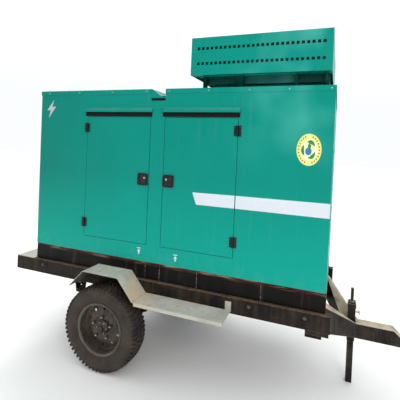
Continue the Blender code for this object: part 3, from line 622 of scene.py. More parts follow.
def pipe(name, start, steps, radius, look):
    """A bent tube or lead of the frame, smoothed through steps that are measured from its start."""
    curve = bpy.data.curves.new(name, "CURVE")
    curve.dimensions = "3D"
    curve.bevel_depth = radius
    curve.bevel_resolution = 3
    curve.use_fill_caps = True
    spline = curve.splines.new("NURBS")
    spline.points.add(len(steps) - 1)
    for point, step in zip(spline.points, steps):
        point.co = (*(Vector(start) + Vector(step)), 1.0)
    spline.order_u = min(4, len(steps))
    spline.use_endpoint_u = True
    spline.resolution_u = 6
    curve.materials.append(LOOKS[look])
    rides(linked(name, curve), "frame")


# ---------------------------------------------------------------- camera, lights and floor
def camera_and_stage():
    scene = bpy.context.scene
    for old in [o for o in scene.objects if o.type in ("LIGHT", "CAMERA")]:
        bpy.data.objects.remove(old)
    yaw, pitch, roll = (math.radians(angle) for angle in (CAMERA_YAW, CAMERA_PITCH, CAMERA_ROLL))
    forward = Vector((-math.sin(yaw) * math.cos(pitch), math.cos(yaw) * math.cos(pitch), math.sin(pitch)))
    level = Vector((math.cos(yaw), math.sin(yaw), 0.0))
    above = level.cross(forward)
    right = level * math.cos(roll) + above * math.sin(roll)
    up = above * math.cos(roll) - level * math.sin(roll)
    lens = bpy.data.cameras.new("camera")
    lens.lens = FOCAL_LENGTH
    lens.sensor_width = 36.0
    lens.shift_x, lens.shift_y = CAMERA_SHIFT
    camera = linked("camera", lens)
    turn = Matrix((right, up, -forward)).transposed().to_4x4()
    camera.matrix_world = Matrix.Translation(CAMERA_PLACE) @ turn
    scene.camera = camera
    scene.view_settings.view_transform = "Standard"

    world = bpy.data.worlds.new("studio")
    scene.world = world
    world.use_nodes = True
    tree = world.node_tree
    axes = tree.nodes.new("ShaderNodeSeparateXYZ")
    tree.links.new(tree.nodes.new("ShaderNodeTexCoord").outputs["Generated"], axes.inputs[0])
    strengths = []
    for axis, low, high in (("Y", (-0.7, 0.62), (0.4, 1.0)), ("Z", (0.15, 0.0), (0.9, 0.55))):
        ramp = tree.nodes.new("ShaderNodeMapRange")
        for socket, value in zip(ramp.inputs[1:5], (low[0], high[0], low[1], high[1])):
            socket.default_value = value
        tree.links.new(axes.outputs[axis], ramp.inputs[0])
        strengths.append(ramp.outputs[0])
    total = tree.nodes.new("ShaderNodeMath")
    tree.links.new(strengths[0], total.inputs[0])
    tree.links.new(strengths[1], total.inputs[1])
    tree.links.new(total.outputs[0], tree.nodes["Background"].inputs[1])
    tree.nodes["Background"].inputs[0].default_value = (0.97, 0.99, 1.0, 1.0)

    def area(name, place, target, size, power, colour=(1, 1, 1)):
        light = bpy.data.lights.new(name, "AREA")
        light.shape = "RECTANGLE"
        light.size, light.size_y = size
        light.energy = power
        light.color = colour
        aim = Vector(target) - Vector(place)
        turned = aim.to_track_quat("-Z", "Y").to_matrix().to_4x4()
        linked(name, light).matrix_world = Matrix.Translation(place) @ turned

    area("key", (3.6, -5.2, 4.6), (0.4, 0, 1.3), (2.6, 2.0), 110, (1.0, 0.98, 0.95))
    area("rim", (-4.5, 3.5, 5.0), (0, 0, 1.5), (3.0, 2.0), 160)

    look = Look("pale_floor")
    floor_colour = mottled(look, (0.90, 0.90, 0.89), 0.02, 0.8)
    look.done(floor_colour, look.varied(3, 0.7, 0.85), look.noise(60, 3.0), 0.05)
    floor = bmesh.new()
    bmesh.ops.create_grid(floor, x_segments=1, y_segments=1, size=60)
    mesh = bpy.data.meshes.new("floor")
    floor.to_mesh(mesh)
    mesh.materials.append(look.material)
    ground = linked("floor", mesh)
    ground.location.z = -0.0005


# ---------------------------------------------------------------- wheels
TREAD_PITCHES = 58


def tread_block(centre, hand, turn, pitch, outline, crown, floor):
    """One block of tread, from the floor radius up to the crown; outline in pitches along, metres across."""
    shape = bmesh.new()
    rings = []
    for level, spread in ((crown, 0.88), (floor, 1.06)):
        middle = sum(point[0] for point in outline) / len(outline)
        ring = []
        for along, across in outline:
            angle = turn + pitch * (middle + (along - middle) * spread)
            radius = level(abs(across))
            x, z = radius * math.cos(angle), radius * math.sin(angle)
            ring.append(shape.verts.new((centre.x + x, centre.y + hand * across, centre.z + z)))
        rings.append(ring)
    shape.faces.new(rings[0])
    band(shape, *rings)
    shape.faces.new(rings[1])
    return closed(shape)


def wheel(side, hand):
    body = f"{side}_wheel"
    low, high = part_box(f"{side}_tyre")
    centre = (low + high) / 2
    radius = (high.z - low.z) / 2

    half = [(0.2060, 0.054), (0.2140, 0.0625), (0.2225, 0.0690), (0.2260, 0.0735), (0.2330, 0.0765),
            (0.2365, 0.0800), (0.2410, 0.0800), (0.2440, 0.0785), (0.2580, 0.0845), (0.2720, 0.0880),
            (0.2860, 0.0895), (0.3000, 0.0885), (0.3060, 0.0888), (0.3100, 0.0868), (0.3220, 0.0845),
            (0.3340, 0.0795), (0.3430, 0.0715), (0.3490, 0.058), (0.3510, 0.030)]
    inside = [(0.342, 0.045), (0.325, 0.068), (0.285, 0.075), (0.225, 0.056)]
    mirrored = [(r, -a) for r, a in half[::-1]]
    profile = half + mirrored + [(r, -a) for r, a in inside[::-1]] + inside
    carcass = lathe(profile, "y", centre, 120, hand)
    piece(f"{side}_tyre_carcass", carcass, "tyre", body, stands_for=f"{side}_tyre")

    def crown(across):
        return radius - 0.0125 * (across / 0.083) ** 3

    def floor(across):
        return 0.3475 if across < 0.07 else 0.332

    pitch = 2 * math.pi / TREAD_PITCHES
    shoulder = [(-0.40, 0.050), (-0.12, 0.044), (0.10, 0.052), (0.28, 0.0825), (-0.30, 0.0825)]
    middle = [(-0.34, 0.0035), (0.02, 0.0035), (0.42, 0.0400), (0.06, 0.0440), (-0.10, 0.024)]
    blocks = []
    for number in range(TREAD_PITCHES):
        for sign in (-1, 1):
            turn = pitch * (number + (0.5 if sign > 0 else 0.0))
            for outline in (shoulder, middle):
                sided = [(along, sign * across) for along, across in outline]
                blocks.append(tread_block(centre, hand, turn, pitch, sided, crown, floor))
    piece(f"{side}_tyre_tread", blocks, "tread", body)

    rim = [(0.2165, 0.0768), (0.2205, 0.0765), (0.2232, 0.0742), (0.2225, 0.0712), (0.2180, 0.0695),
           (0.2060, 0.0672), (0.2042, 0.0600), (0.2042, -0.0600), (0.2060, -0.0672), (0.2180, -0.0695),
           (0.2225, -0.0712), (0.2225, -0.0745), (0.2190, -0.0760), (0.2020, -0.0700), (0.2002, -0.0620),
           (0.2002, -0.0060), (0.1960, -0.0040), (0.1700, 0.0005), (0.1400, 0.0105), (0.1150, 0.0185),
           (0.0900, 0.0195), (0.0655, 0.0135), (0.0620, 0.0135), (0.0620, 0.0180), (0.0655, 0.0185),
           (0.0900, 0.0250), (0.1160, 0.0240), (0.1410, 0.0160), (0.1710, 0.0060), (0.1900, 0.0030),
           (0.1965, 0.0060), (0.1990, 0.0150), (0.1995, 0.0560), (0.2015, 0.0680), (0.2080, 0.0745)]

    # The outer lip takes the lighter rim look, partly a painted sheen; the rest takes the dish's enamel.
    def lip_or_dish(face):
        place = face.calc_center_median() - centre
        return 1 if math.hypot(place.x, place.z) > 0.2005 and hand * place.y > 0.055 else 0

    dish = lathe(rim, "y", centre, 96, hand)
    made = piece(f"{side}_wheel_rim", dish, ["wheel", "lip"], body, stands_for=f"{side}_rim",
                 sort=lip_or_dish)
    hand_holes = around(centre, 0.154, 10, math.pi / 10, hand * 0.01)
    carved(made, [rod("y", place, 0.0125, 0.05, 20) for place in hand_holes])
    made.data.set_sharp_from_angle(angle=SHARP)

    cone = [(0, 0.018), (0.0165, 0.020), (0.0125, 0.027), (0.0125, 0.040), (0.0100, 0.0425), (0, 0.0425)]
    stud = [(0, 0.03), (0.0062, 0.03), (0.0062, 0.050), (0.0050, 0.0515), (0, 0.0515)]
    stud_places = around(centre, 0.09, 5, math.pi / 2)
    nuts = [lathe(cone, "y", place, 6, hand) for place in stud_places]
    studs = [lathe(stud, "y", place, 16, hand) for place in stud_places]
    piece(f"{side}_wheel_nuts", nuts, "dark_steel", body, bevel=0.0008)
    piece(f"{side}_wheel_studs", studs, "zinc", body)

    cap = [(0, 0.0748), (0.012, 0.0745), (0.021, 0.0725), (0.0258, 0.068), (0.0280, 0.060), (0.0290, 0.050),
           (0.0340, 0.0485), (0.0360, 0.0460), (0.0440, 0.0450), (0.0500, 0.0410), (0.0560, 0.0320),
           (0.0580, 0.0300), (0.0580, 0.0112), (0.0850, 0.0112), (0.0850, -0.0120), (0.0550, -0.0120),
           (0.0540, -0.0600), (0.0580, -0.0640), (0.0580, -0.0850), (0.0256, -0.0850), (0.0256, 0.0400),
           (0, 0.0400)]
    piece(f"{side}_wheel_hub", lathe(cap, "y", centre, 56, hand), "wheel", body, stands_for=f"{side}_hub")
    screws = []
    for place in around(centre, 0.047, 6, shift=hand * 0.0415):
        screws += bolt("y", place, 0.0035, hand)
    piece(f"{side}_hub_screws", screws, "zinc", body)


# ---------------------------------------------------------------- springs and chassis
def leaf_spring(side):
    low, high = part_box(f"{side}_leaf_spring")
    axle_x, y = (low.x + high.x) / 2, (low.y, high.y)
    leaf, rise, reach = 0.010, 0.11, 0.40
    bottom = low.z + 5 * leaf

    def height(run):
        return bottom + rise * (run / reach) ** 2

    leaves = []
    for level, half in enumerate((reach, 0.335, 0.27, 0.20, 0.13)):
        steps = 20
        runs = [half * (2 * k / steps - 1) for k in range(steps + 1)]
        top = [(axle_x + run, height(run) - level * leaf - 0.0004) for run in runs]
        base = [(x, z - leaf + 0.0009) for x, z in top[::-1]]
        inset = 0.0 if level == 0 else 0.001
        leaves.append(prism(top + base, "y", y[0] + inset, y[1] - inset))
    middle = (y[0] + y[1]) / 2
    for end in (-1, 1):
        centre = (axle_x + end * reach, middle, height(reach) + 0.011)
        wall = [(0.022, -0.030), (0.022, 0.030), (0.0112, 0.030), (0.0112, -0.030)]
        leaves.append(lathe(wall, "y", centre, 28))
    for end in (-0.235, 0.235):
        z = height(end)
        clip = picture_frame((0, 0.07), (0, 0.044), (-0.010, 0.010), 0.004)
        place = Matrix.Translation((axle_x + end, middle - 0.035, z - 0.039))
        leaves.append(placed(clip, place @ Matrix.Rotation(math.pi / 2, 4, "Z")))
    piece(f"{side}_spring_leaves", leaves, "under", stands_for=f"{side}_leaf_spring", bevel=0.0012)


def running_gear():
    for side, hand in HANDS.items():
        leaf_spring(side)
        refined(f"{side}_chassis_rail", "rail", 0.002)
        for end in ("front", "rear"):
            refined(f"{side}_{end}_hanger", "under")
        refined(f"{side}_axle_clamp", "under", 0.0010)
        refined(f"{side}_fender", "plate", 0.0016)
        refined(f"{side}_drawbar_arm", "bar", 0.003)
        low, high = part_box(f"{side}_axle_clamp")
        nuts = []
        for x in (low.x + 0.013, high.x - 0.013):
            for y in (low.y + 0.008, high.y - 0.008):
                nuts += bolt("z", (x, y, high.z - 0.030), 0.0085)
                nuts += bolt("z", (x, y, low.z + 0.030), 0.0085, -1)
        piece(f"{side}_clamp_nuts", nuts, "dark_steel", bevel=0.0005)

        fender_low, fender_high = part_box(f"{side}_fender")
        rail_y = hand * RAIL_HIGH.y
        back, front = fender_low.x, fender_high.x
        welds = [bead((back + 0.16, rail_y, 0.7365), (back + 0.49, rail_y, 0.7365)),
                 bead((front - 0.62, rail_y, 0.6640), (front - 0.40, rail_y, 0.6640), 0.0035)]
        for x in (front - 0.05, front):
            y = rail_y + hand * 0.004
            welds.append(bead((x, y, 0.672), (x, y, 0.738), 0.0035))
        for end in ("front", "rear"):
            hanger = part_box(f"{side}_{end}_hanger")
            y = hanger[1].y if hand > 0 else hanger[0].y
            welds.append(bead((hanger[0].x, y, RAIL_LOW.z), (hanger[1].x, y, RAIL_LOW.z), 0.003))
        piece(f"{side}_chassis_welds", welds, "dark_steel")

        bolts = []
        for x in (REAR + 0.12, REAR + 2.20, REAR + 2.62):
            bolts += bolt("y", (x, rail_y, (RAIL_LOW.z + RAIL_HIGH.z) / 2 + 0.02), 0.010, hand)
        piece(f"{side}_rail_bolts", bolts, "dark_steel", bevel=0.0005)

        skid_y, seam_z = hand * SKID_HIGH.y, (RAIL_HIGH.z + 0.004, FOOT - 0.012)
        seams = [bead(*((REAR + x, skid_y, z) for z in seam_z), 0.0032) for x in (1.25, 1.39, 1.74, 2.28)]
        piece(f"{side}_skid_welds", seams, "bar_edge")
        plate = box((REAR + 1.253, REAR + 1.387), both(SKID_HIGH.y - 0.001, SKID_HIGH.y + 0.003, hand),
                    (RAIL_HIGH.z + 0.012, FOOT - 0.022))
        piece(f"{side}_lifting_plate", plate, "skid", bevel=0.001)
    for name in ("rear_cross_member", "centre_cross_member", "front_cross_member", "axle_beam"):
        refined(name, "rail" if name != "axle_beam" else "under", 0.002)
    refined("base_skid", "skid", 0.002)
    refined("rear_platform", "plate", 0.001)
    chequers()


def chequers():
    """The raised lozenges of chequer plate on the rear platform."""
    low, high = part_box("rear_platform")
    shape = bmesh.new()
    spacing, half_long, half_wide, rise = 0.030, 0.011, 0.0035, 0.0011
    columns = int((high.x - low.x - 0.01) / spacing)
    rows = int((high.y - low.y - 0.01) / spacing)
    for column in range(columns):
        for row in range(rows):
            centre = Vector((low.x + 0.02 + column * spacing, low.y + 0.02 + row * spacing, high.z))
            turn = math.radians(45 if (column + row) % 2 else -45)
            along = Vector((math.cos(turn), math.sin(turn), 0))
            across = Vector((-math.sin(turn), math.cos(turn), 0))
            ring = [along * half_long, across * half_wide, along * -half_long, across * -half_wide]
            ridge = [along * half_long * share + Vector((0, 0, rise)) for share in (0.55, -0.55)]
            foot = [shape.verts.new(centre + point - Vector((0, 0, 0.0004))) for point in ring]
            corners = foot + [shape.verts.new(centre + point) for point in ridge]
            for first, second, third in ((0, 1, 4), (1, 2, 5), (1, 5, 4), (2, 3, 5), (3, 0, 4), (3, 4, 5)):
                shape.faces.new((corners[first], corners[second], corners[third]))
            shape.faces.new(foot[::-1])
    piece("platform_chequers", closed(shape), "plate")


def drawbar():
    refined("tow_bar", "bar", 0.003)
    refined("jack_sleeve", "bar", 0.0016)
    low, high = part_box("jack_sleeve")
    bar_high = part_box("tow_bar")[1]
    top = bar_high.z
    welds = [bead((low.x, y, top), (high.x, y, top), 0.0035) for y in (low.y, high.y)]
    welds += [bead((x, low.y, top), (x, high.y, top), 0.0035) for x in (low.x, high.x)]
    for side, hand in HANDS.items():
        arm_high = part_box(f"{side}_drawbar_arm")[1]
        y = hand * bar_high.y
        welds.append(bead((arm_high.x - 0.14, y, top - 0.002), (arm_high.x, y, top - 0.002), 0.004))
    piece("drawbar_welds", welds, "dark_steel")

    refined("jack_leg", "bar", 0.002, body="jack_leg")
    leg_low, leg_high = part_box("jack_leg")
    middle = (leg_low + leg_high) / 2
    ring = [(0.0128, 0.0), (0.0175, 0.001), (0.0185, 0.004), (0.0185, 0.014), (0.0175, 0.017),
            (0.0128, 0.018)]
    piece("jack_ring", lathe(ring, "z", (middle.x, middle.y, leg_high.z - 0.128), 32), "zinc", "jack_leg")
    cap = dome("z", (middle.x, middle.y, leg_high.z - 0.001), 0.0118, 0.0008)
    piece("jack_cap", cap, "dark_steel", "jack_leg")

    screw_low, screw_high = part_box("jack_clamp_screw")
    z = (screw_low.z + screw_high.z) / 2
    stem = rod("x", ((screw_low.x + screw_high.x) / 2, 0, z), 0.0062, screw_high.x - screw_low.x, 24)
    thread_x = [screw_low.x + 0.012 + 0.0018 * turn for turn in range(6)]
    thread = [rod("x", (x, 0, z), 0.0066, 0.0009, 20, 0.0003) for x in thread_x]
    handle = [rod("y", (screw_high.x - 0.006, 0, z), 0.0046, 0.074, 18)]
    handle += [dome("y", (screw_high.x - 0.006, hand * 0.036, z), 0.005, 0.004, hand) for hand in (-1, 1)]
    piece("jack_screw_and_bar", [stem, *thread, *handle], "zinc", "jack_clamp",
          stands_for="jack_clamp_screw")

    eye_low, eye_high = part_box("tow_eye")
    centre = Vector((eye_high.x - 0.0593, 0, (eye_low.z + eye_high.z) / 2))
    torus = [(0.046 + 0.0138 * math.cos(turn), 0.0138 * math.sin(turn)) for turn in circle(20)]
    reach = centre.x - 0.046 - eye_low.x
    shank = [(0, 0.0), (0.0190, 0.0), (0.0195, 0.002), (0.0195, 0.009), (0.0165, 0.011), (0.0155, 0.016),
             (0.0155, reach - 0.006), (0.0170, reach), (0, reach)]
    parts = [lathe(torus, "z", centre, 72), lathe(shank, "x", (eye_low.x, 0, centre.z), 40)]
    piece("towing_eye", parts, "dark_steel", "tow_eye", stands_for="tow_eye")


# ---------------------------------------------------------------- canopy
def inner_faces(limit):
    """Sorts a wall's faces: those that look into the canopy are foam, the rest paint."""
    def sort(face):
        centre = face.calc_center_median()
        return 1 if abs(centre.y) < limit else 0
    return sort


def side_panels():
    """The side walls, with seams, door-opening seals, black strips of painted shadow under the drip rails
    and the gutter lip, and roof-lip rivets.
    """
    for side, hand in HANDS.items():
        node = f"{side}_side_panel"
        made = piece(f"{node}_skin", cad_shape(node), ["enamel", "foam", "enamel_edge"], stands_for=node,
                     bevel=0.0014, sort=inner_faces(SIDE - WALL + 0.0005))
        made.modifiers["Rounded folds"].material = 2
        seams = []
        outside = both(SIDE - 0.0025, SIDE + 0.05, hand)
        for x, low, high in ((1.3667, -0.1, 1.41), (2.0465, -0.1, 0.142), (2.0465, 1.345, ROOF - FOOT)):
            seams.append(box((REAR + x - 0.0011, REAR + x + 0.0011), outside, (FOOT + low, FOOT + high)))
        carved(made, seams)

        seals_and_shadow_strips, shadow_strip_y = [], both(SIDE - 0.001, SIDE + 0.0035, hand)
        for place in ("rear", "front"):
            low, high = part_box(f"{place}_{side}_door")
            rail = (low.x - 0.018, high.x + 0.014) if place == "rear" else (low.x - 0.024, high.x + 0.008)
            # A black strip under the drip rail: painted shadow, for the shade that falls below the rail.
            seals_and_shadow_strips.append(box(rail, shadow_strip_y, (FOOT + 1.262, FOOT + 1.2995)))
            opening = 0.018
            x, z = ((start + opening, end - opening) for start, end in ((low.x, high.x), (low.z, high.z)))
            seal_y = both(SIDE - WALL - 0.004, SIDE - DOOR_THICK - 0.0012, hand)
            seals_and_shadow_strips.append(picture_frame(x, z, seal_y, 0.007))
        piece(f"{side}_door_seals_and_shadow_strips", seals_and_shadow_strips, "trim", bevel=0.0008)
        # A black strip under the roof's gutter lip: painted shadow, for the shade below the lip.
        shadow_under_gutter = box((REAR + 1.250, REAR + 1.384), shadow_strip_y, (FOOT + 1.400, FOOT + 1.4215))
        piece(f"{side}_gutter_shadow_strip", shadow_under_gutter, "trim", bevel=0.0008)

        heads = [dome("y", (REAR + x, hand * (SIDE + 0.0043), ROOF - 0.022), 0.0062, 0.0032, hand)
                 for x in (0.10, 0.47, 0.84, 1.20, 1.42, 1.78, 2.12, 2.43, 2.73)]
        piece(f"{side}_roof_rivets", heads, "zinc")


def hinge_side(place):
    return 1 if place == "rear" else -1


def door_sort(face):
    """0 the painted leaf, 1 the hinge and latch pan that stand proud of it, 2 the lined inside."""
    y = abs(face.calc_center_median().y)
    if y > SIDE + 0.0004:
        return 1
    return 2 if y < SIDE - DOOR_THICK + 0.0005 else 0


def doors():
    for side, hand in HANDS.items():
        for place in ("rear", "front"):
            node = f"{place}_{side}_door"
            piece(f"{node}_skin", cad_shape(node), ["enamel", "hinge", "foam", "enamel_edge"], node,
                  stands_for=node, bevel=0.0012, sort=door_sort)
            low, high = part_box(node)
            inward = hinge_side(place)
            hinge_x = low.x + 0.0075 if place == "rear" else high.x - 0.0075
            lining = box((low.x + 0.034, high.x - 0.034),
                         both(SIDE - DOOR_THICK - 0.012, SIDE - DOOR_THICK - 0.0003, hand),
                         (low.z + 0.030, high.z - 0.030))
            piece(f"{node}_lining", lining, "foam", node, bevel=0.004)
            hinge_details(node, place, side, hand, hinge_x, inward)
            latch_details(place, side, hand)


def hinge_details(door, place, side, hand, hinge_x, inward):
    """Two hinges: leaf and screws on the panel, barrel with its knuckle ends and screws on the door."""
    fixed, panel_screws, door_screws, knuckles, barrels = [], [], [], [], []
    barrel_y, head_y = hand * (SIDE + 0.008), hand * (SIDE + 0.0048)
    for height in (FOOT + 0.275, FOOT + 1.155):
        x = tuple(sorted((hinge_x - inward * 0.030, hinge_x - inward * 0.0085)))
        fixed.append(box(x, both(SIDE + 0.0002, SIDE + 0.005, hand), (height - 0.042, height + 0.042)))
        for heads, shift in ((panel_screws, -0.021), (door_screws, 0.021)):
            x = hinge_x + inward * shift
            for step in (-0.026, 0.0, 0.026):
                heads.append(dome("y", (x, head_y, height + step), 0.0042, 0.0018, hand))
        barrels.append(rod("z", (hinge_x, barrel_y, height), 0.00815, 0.0845, 24))
        for sign in (-1, 1):
            knuckles.append(dome("z", (hinge_x, barrel_y, height + sign * 0.0425), 0.0062, 0.003, sign))
    name = f"{place}_{side}"
    piece(f"{name}_hinge_leaves", fixed, "hinge", bevel=0.001)
    piece(f"{name}_hinge_barrels", barrels, "hinge", door)
    piece(f"{name}_hinge_screws", panel_screws, "dark_steel")
    piece(f"{name}_door_screws", door_screws + knuckles, "dark_steel", door)


def latch_details(place, side, hand):
    """A paddle latch: bezel and lock on the door, and the dished paddle that pulls out from below."""
    name = f"{place}_{side}"
    low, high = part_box(f"{name}_latch")
    door, latch = f"{name}_door", f"{name}_latch"
    middle = (low + high) / 2
    bezel_x, bezel_z = ((centre - 0.0525, centre + 0.0525) for centre in (middle.x, middle.z))
    bezel = picture_frame(bezel_x, bezel_z, both(SIDE + 0.0025, SIDE + 0.0115, hand), 0.0095)
    piece(f"{name}_latch_bezel", bezel, "hinge", door, bevel=0.0022, segments=3)
    face = (low.y, low.y + 0.004) if hand < 0 else (high.y - 0.004, high.y)
    back = (low.y + 0.0035, high.y) if hand < 0 else (low.y, high.y - 0.0035)
    x, z = (low.x, high.x), (low.z, high.z)
    finger_bar = box((low.x + 0.014, high.x - 0.014), face, (low.z + 0.018, low.z + 0.026))
    parts = [picture_frame(x, z, face, 0.012), box(x, back, z), finger_bar]
    piece(f"{name}_latch_paddle", parts, "plastic", latch, stands_for=f"{name}_latch", bevel=0.0012)
    lock = (middle.x + 0.018 * hinge_side(place), hand * (SIDE + 0.0085), middle.z + 0.012)
    barrel = [(0, 0.0030), (0.0030, 0.0034), (0.0085, 0.0034), (0.0098, 0.0020), (0.0098, 0.0), (0, 0.0)]
    piece(f"{name}_latch_lock", lathe(barrel, "y", lock, 28, hand), "zinc", latch)
    corner = 0.0475
    screws = [dome("y", (middle.x + x, hand * (SIDE + 0.0112), middle.z + z), 0.0026, 0.0011, hand, 10)
              for x in (-corner, corner) for z in (-corner, corner)]
    piece(f"{name}_latch_screws", screws, "zinc", door)


def end_and_roof_panels():
    for name in ("rear_end_panel", "front_end_panel"):
        refined(name, "enamel", 0.0012)
    refined("rear_roof", "enamel", 0.0016)
    refined("front_roof", "enamel", 0.0016)

    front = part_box("front_end_panel")[1].x
    cover_y, cover_z = 0.33, (FOOT + 0.30, FOOT + 1.05)
    plate = box((front - 0.0005, front + 0.0024), (-cover_y, cover_y), cover_z)
    piece("radiator_cover", plate, "enamel", bevel=0.001)
    heads = []
    bolt_y, bolt_low, bolt_high = cover_y - 0.02, cover_z[0] + 0.02, cover_z[1] - 0.02
    for step in range(5):
        y = bolt_y * (step / 2 - 1)
        z = bolt_low + step * (bolt_high - bolt_low) / 4
        places = [(y, bolt_low), (y, bolt_high)]
        if 0 < step < 4:
            places += [(-bolt_y, z), (bolt_y, z)]
        for place in places:
            heads += bolt("x", (front + 0.0024, *place), 0.0055)
    piece("radiator_cover_bolts", heads, "zinc")

    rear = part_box("rear_end_panel")[0].x
    places = [(-0.345 + 0.115 * step, FOOT + z) for step in range(7) for z in (0.295, 1.045)]
    places += [(y, FOOT + 0.36 + 0.124 * step) for step in range(6) for y in (-0.378, 0.378)]
    rivets = [dome("x", (rear, *place), 0.005, 0.0028, -1) for place in places]
    piece("louvre_rivets", rivets, "zinc")


def hood():
    # Faces below the hood's foot, its posts, take the dark teal of painted shade.
    def painted_shade_below(face):
        return 1 if face.calc_center_median().z < HOOD_FOOT - 0.001 else 0

    piece("exhaust_hood_skin", cad_shape("exhaust_hood"), ["enamel", "sooty"], stands_for="exhaust_hood",
          sort=painted_shade_below)
    low_x, high_x = REAR + 1.705, REAR + 2.702
    y = 0.420
    sheets = []
    z = (HOOD_FOOT - 0.058, HOOD_FOOT + 0.05)
    for hand in HANDS.values():
        sheets.append(box((low_x, high_x), both(y - 0.003, y, hand), z))
        sheets.append(box((low_x, high_x), both(y - 0.025, y, hand), (z[0] - 0.002, z[0])))
    for x in (low_x, high_x - 0.003):
        sheets.append(box((x, x + 0.003), (-y, y), z))
    # The baffle sheets also take the dark teal of painted shade.
    piece("hood_baffle", sheets, "sooty", bevel=0.0008)
    rivets = [dome("y", (HOOD_LOW.x + x, hand * SIDE, HOOD_FOOT + 0.012), 0.0045, 0.0022, hand)
              for hand in HANDS.values() for x in (0.04, 0.30, 0.56, 0.82, 1.07)]
    piece("hood_rivets", rivets, "enamel")
    bars = [rod("y", (REAR + 1.78 + number * 0.066, 0, ROOF + 0.028), 0.0028, 0.676, 8)
            for number in range(14)]
    bars += [rod("x", (REAR + 2.205, -0.30 + 0.075 * number, ROOF + 0.0235), 0.0024, 0.888, 8)
             for number in range(9)]
    piece("vent_grille", bars, "dark_steel")


# ---------------------------------------------------------------- stickers
STICKER = 0.0006
LIFT_ARROW = [(-0.006, -0.024), (0.006, -0.024), (0.006, 0.0), (0.017, 0.0), (0.0, 0.022), (-0.017, 0.0),
              (-0.006, 0.0)]
LIFT_BAR = [(-0.019, 0.027), (0.019, 0.027), (0.019, 0.033), (-0.019, 0.033)]
FLASH = [(0.030, 0.088), (-0.052, -0.012), (-0.008, -0.012), (-0.030, -0.088), (0.056, 0.022),
         (0.010, 0.022)]


def flat(outline, side_hand, depth=1):
    """A flat cut shape of vinyl on the side wall: outline in (x, z), depth counts the layers under it."""
    base = SIDE + STICKER * (depth - 1)
    return prism(outline, "y", *both(base + 0.0001, base + STICKER, side_hand))


def oval(centre, half_x, half_z, steps=64):
    return moved([(half_x * math.cos(turn), half_z * math.sin(turn)) for turn in circle(steps)], centre)


def stickers():
    for side, hand in HANDS.items():
        slope = 0.0035
        door_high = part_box(f"front_{side}_door")[1].x
        start, top, low = REAR + 1.672, FOOT + 0.641, FOOT + 0.543
        split = door_high - 0.008 - 0.0012
        door_part = [(start + 0.037, low), (split, low), (split, top + slope), (start, top)]
        after = split + 0.0085
        wall_part = [(after, low), (FRONT - 0.002, low - 0.002), (FRONT - 0.002, top + 2 * slope),
                     (after, top + slope)]
        piece(f"{side}_door_stripe", flat(door_part, hand), "white", f"front_{side}_door")
        piece(f"{side}_wall_stripe", flat(wall_part, hand), "white")
        for number, (x, z) in enumerate(((1.18, 0.082), (1.54, 0.070))):
            centre = (REAR + x, FOOT + z)
            marks = [flat(moved(outline, centre), hand) for outline in (LIFT_ARROW, LIFT_BAR)]
            piece(f"{side}_lift_mark_{number + 1}", marks, "white")
        flash = flat(moved(FLASH, (REAR + 0.125, FOOT + 1.328)), hand)
        piece(f"{side}_power_mark", flash, "silver")
    roundel("right")


def roundel(side):
    """A plain ring of leaves round a drop, with dashes where a maker's words would be."""
    hand = HANDS[side]
    centre = (REAR + 2.59, FOOT + 1.03)
    wide, tall = 0.089, 0.1175

    def at(turn, reach):
        return (centre[0] + wide * reach * math.cos(turn), centre[1] + tall * reach * math.sin(turn))

    piece(f"{side}_roundel_ring", flat(oval(centre, wide, tall), hand, 1), "lime")
    piece(f"{side}_roundel_field", flat(oval(centre, wide * 0.68, tall * 0.68), hand, 2), "cream")
    dashes = []
    for number, turn in enumerate(circle(26)):
        if number not in (6, 7, 19, 20):
            corners = ((-0.055, 0.78), (0.055, 0.78), (0.055, 0.90), (-0.055, 0.90))
            dashes.append(flat([at(turn + share, reach) for share, reach in corners], hand, 2))
    piece(f"{side}_roundel_dashes", dashes, "ochre")
    leaves = []
    for turn in circle(3, 0.4):
        edges = [(step / 8, 0.13) for step in range(9)] + [(step / 8, -0.12) for step in range(7, 0, -1)]
        outline = [at(turn + 1.5 * part, 0.50 + swell * math.sin(math.pi * part)) for part, swell in edges]
        leaves.append(flat(outline, hand, 3))
    stem = [(-0.02, -0.19), (0.10, 0.01), (0.18, 0.28), (0.02, 0.42), (-0.10, 0.26), (-0.06, 0.06)]
    leaves.append(flat(moved([(wide * a, tall * b) for a, b in stem], centre), hand, 4))
    piece(f"{side}_roundel_leaves", leaves, "leaf")
    drop = oval((centre[0] - wide * 0.03, centre[1] - tall * 0.10), wide * 0.26, tall * 0.24, 32)
    piece(f"{side}_roundel_drop", flat(drop, hand, 3), "blue")


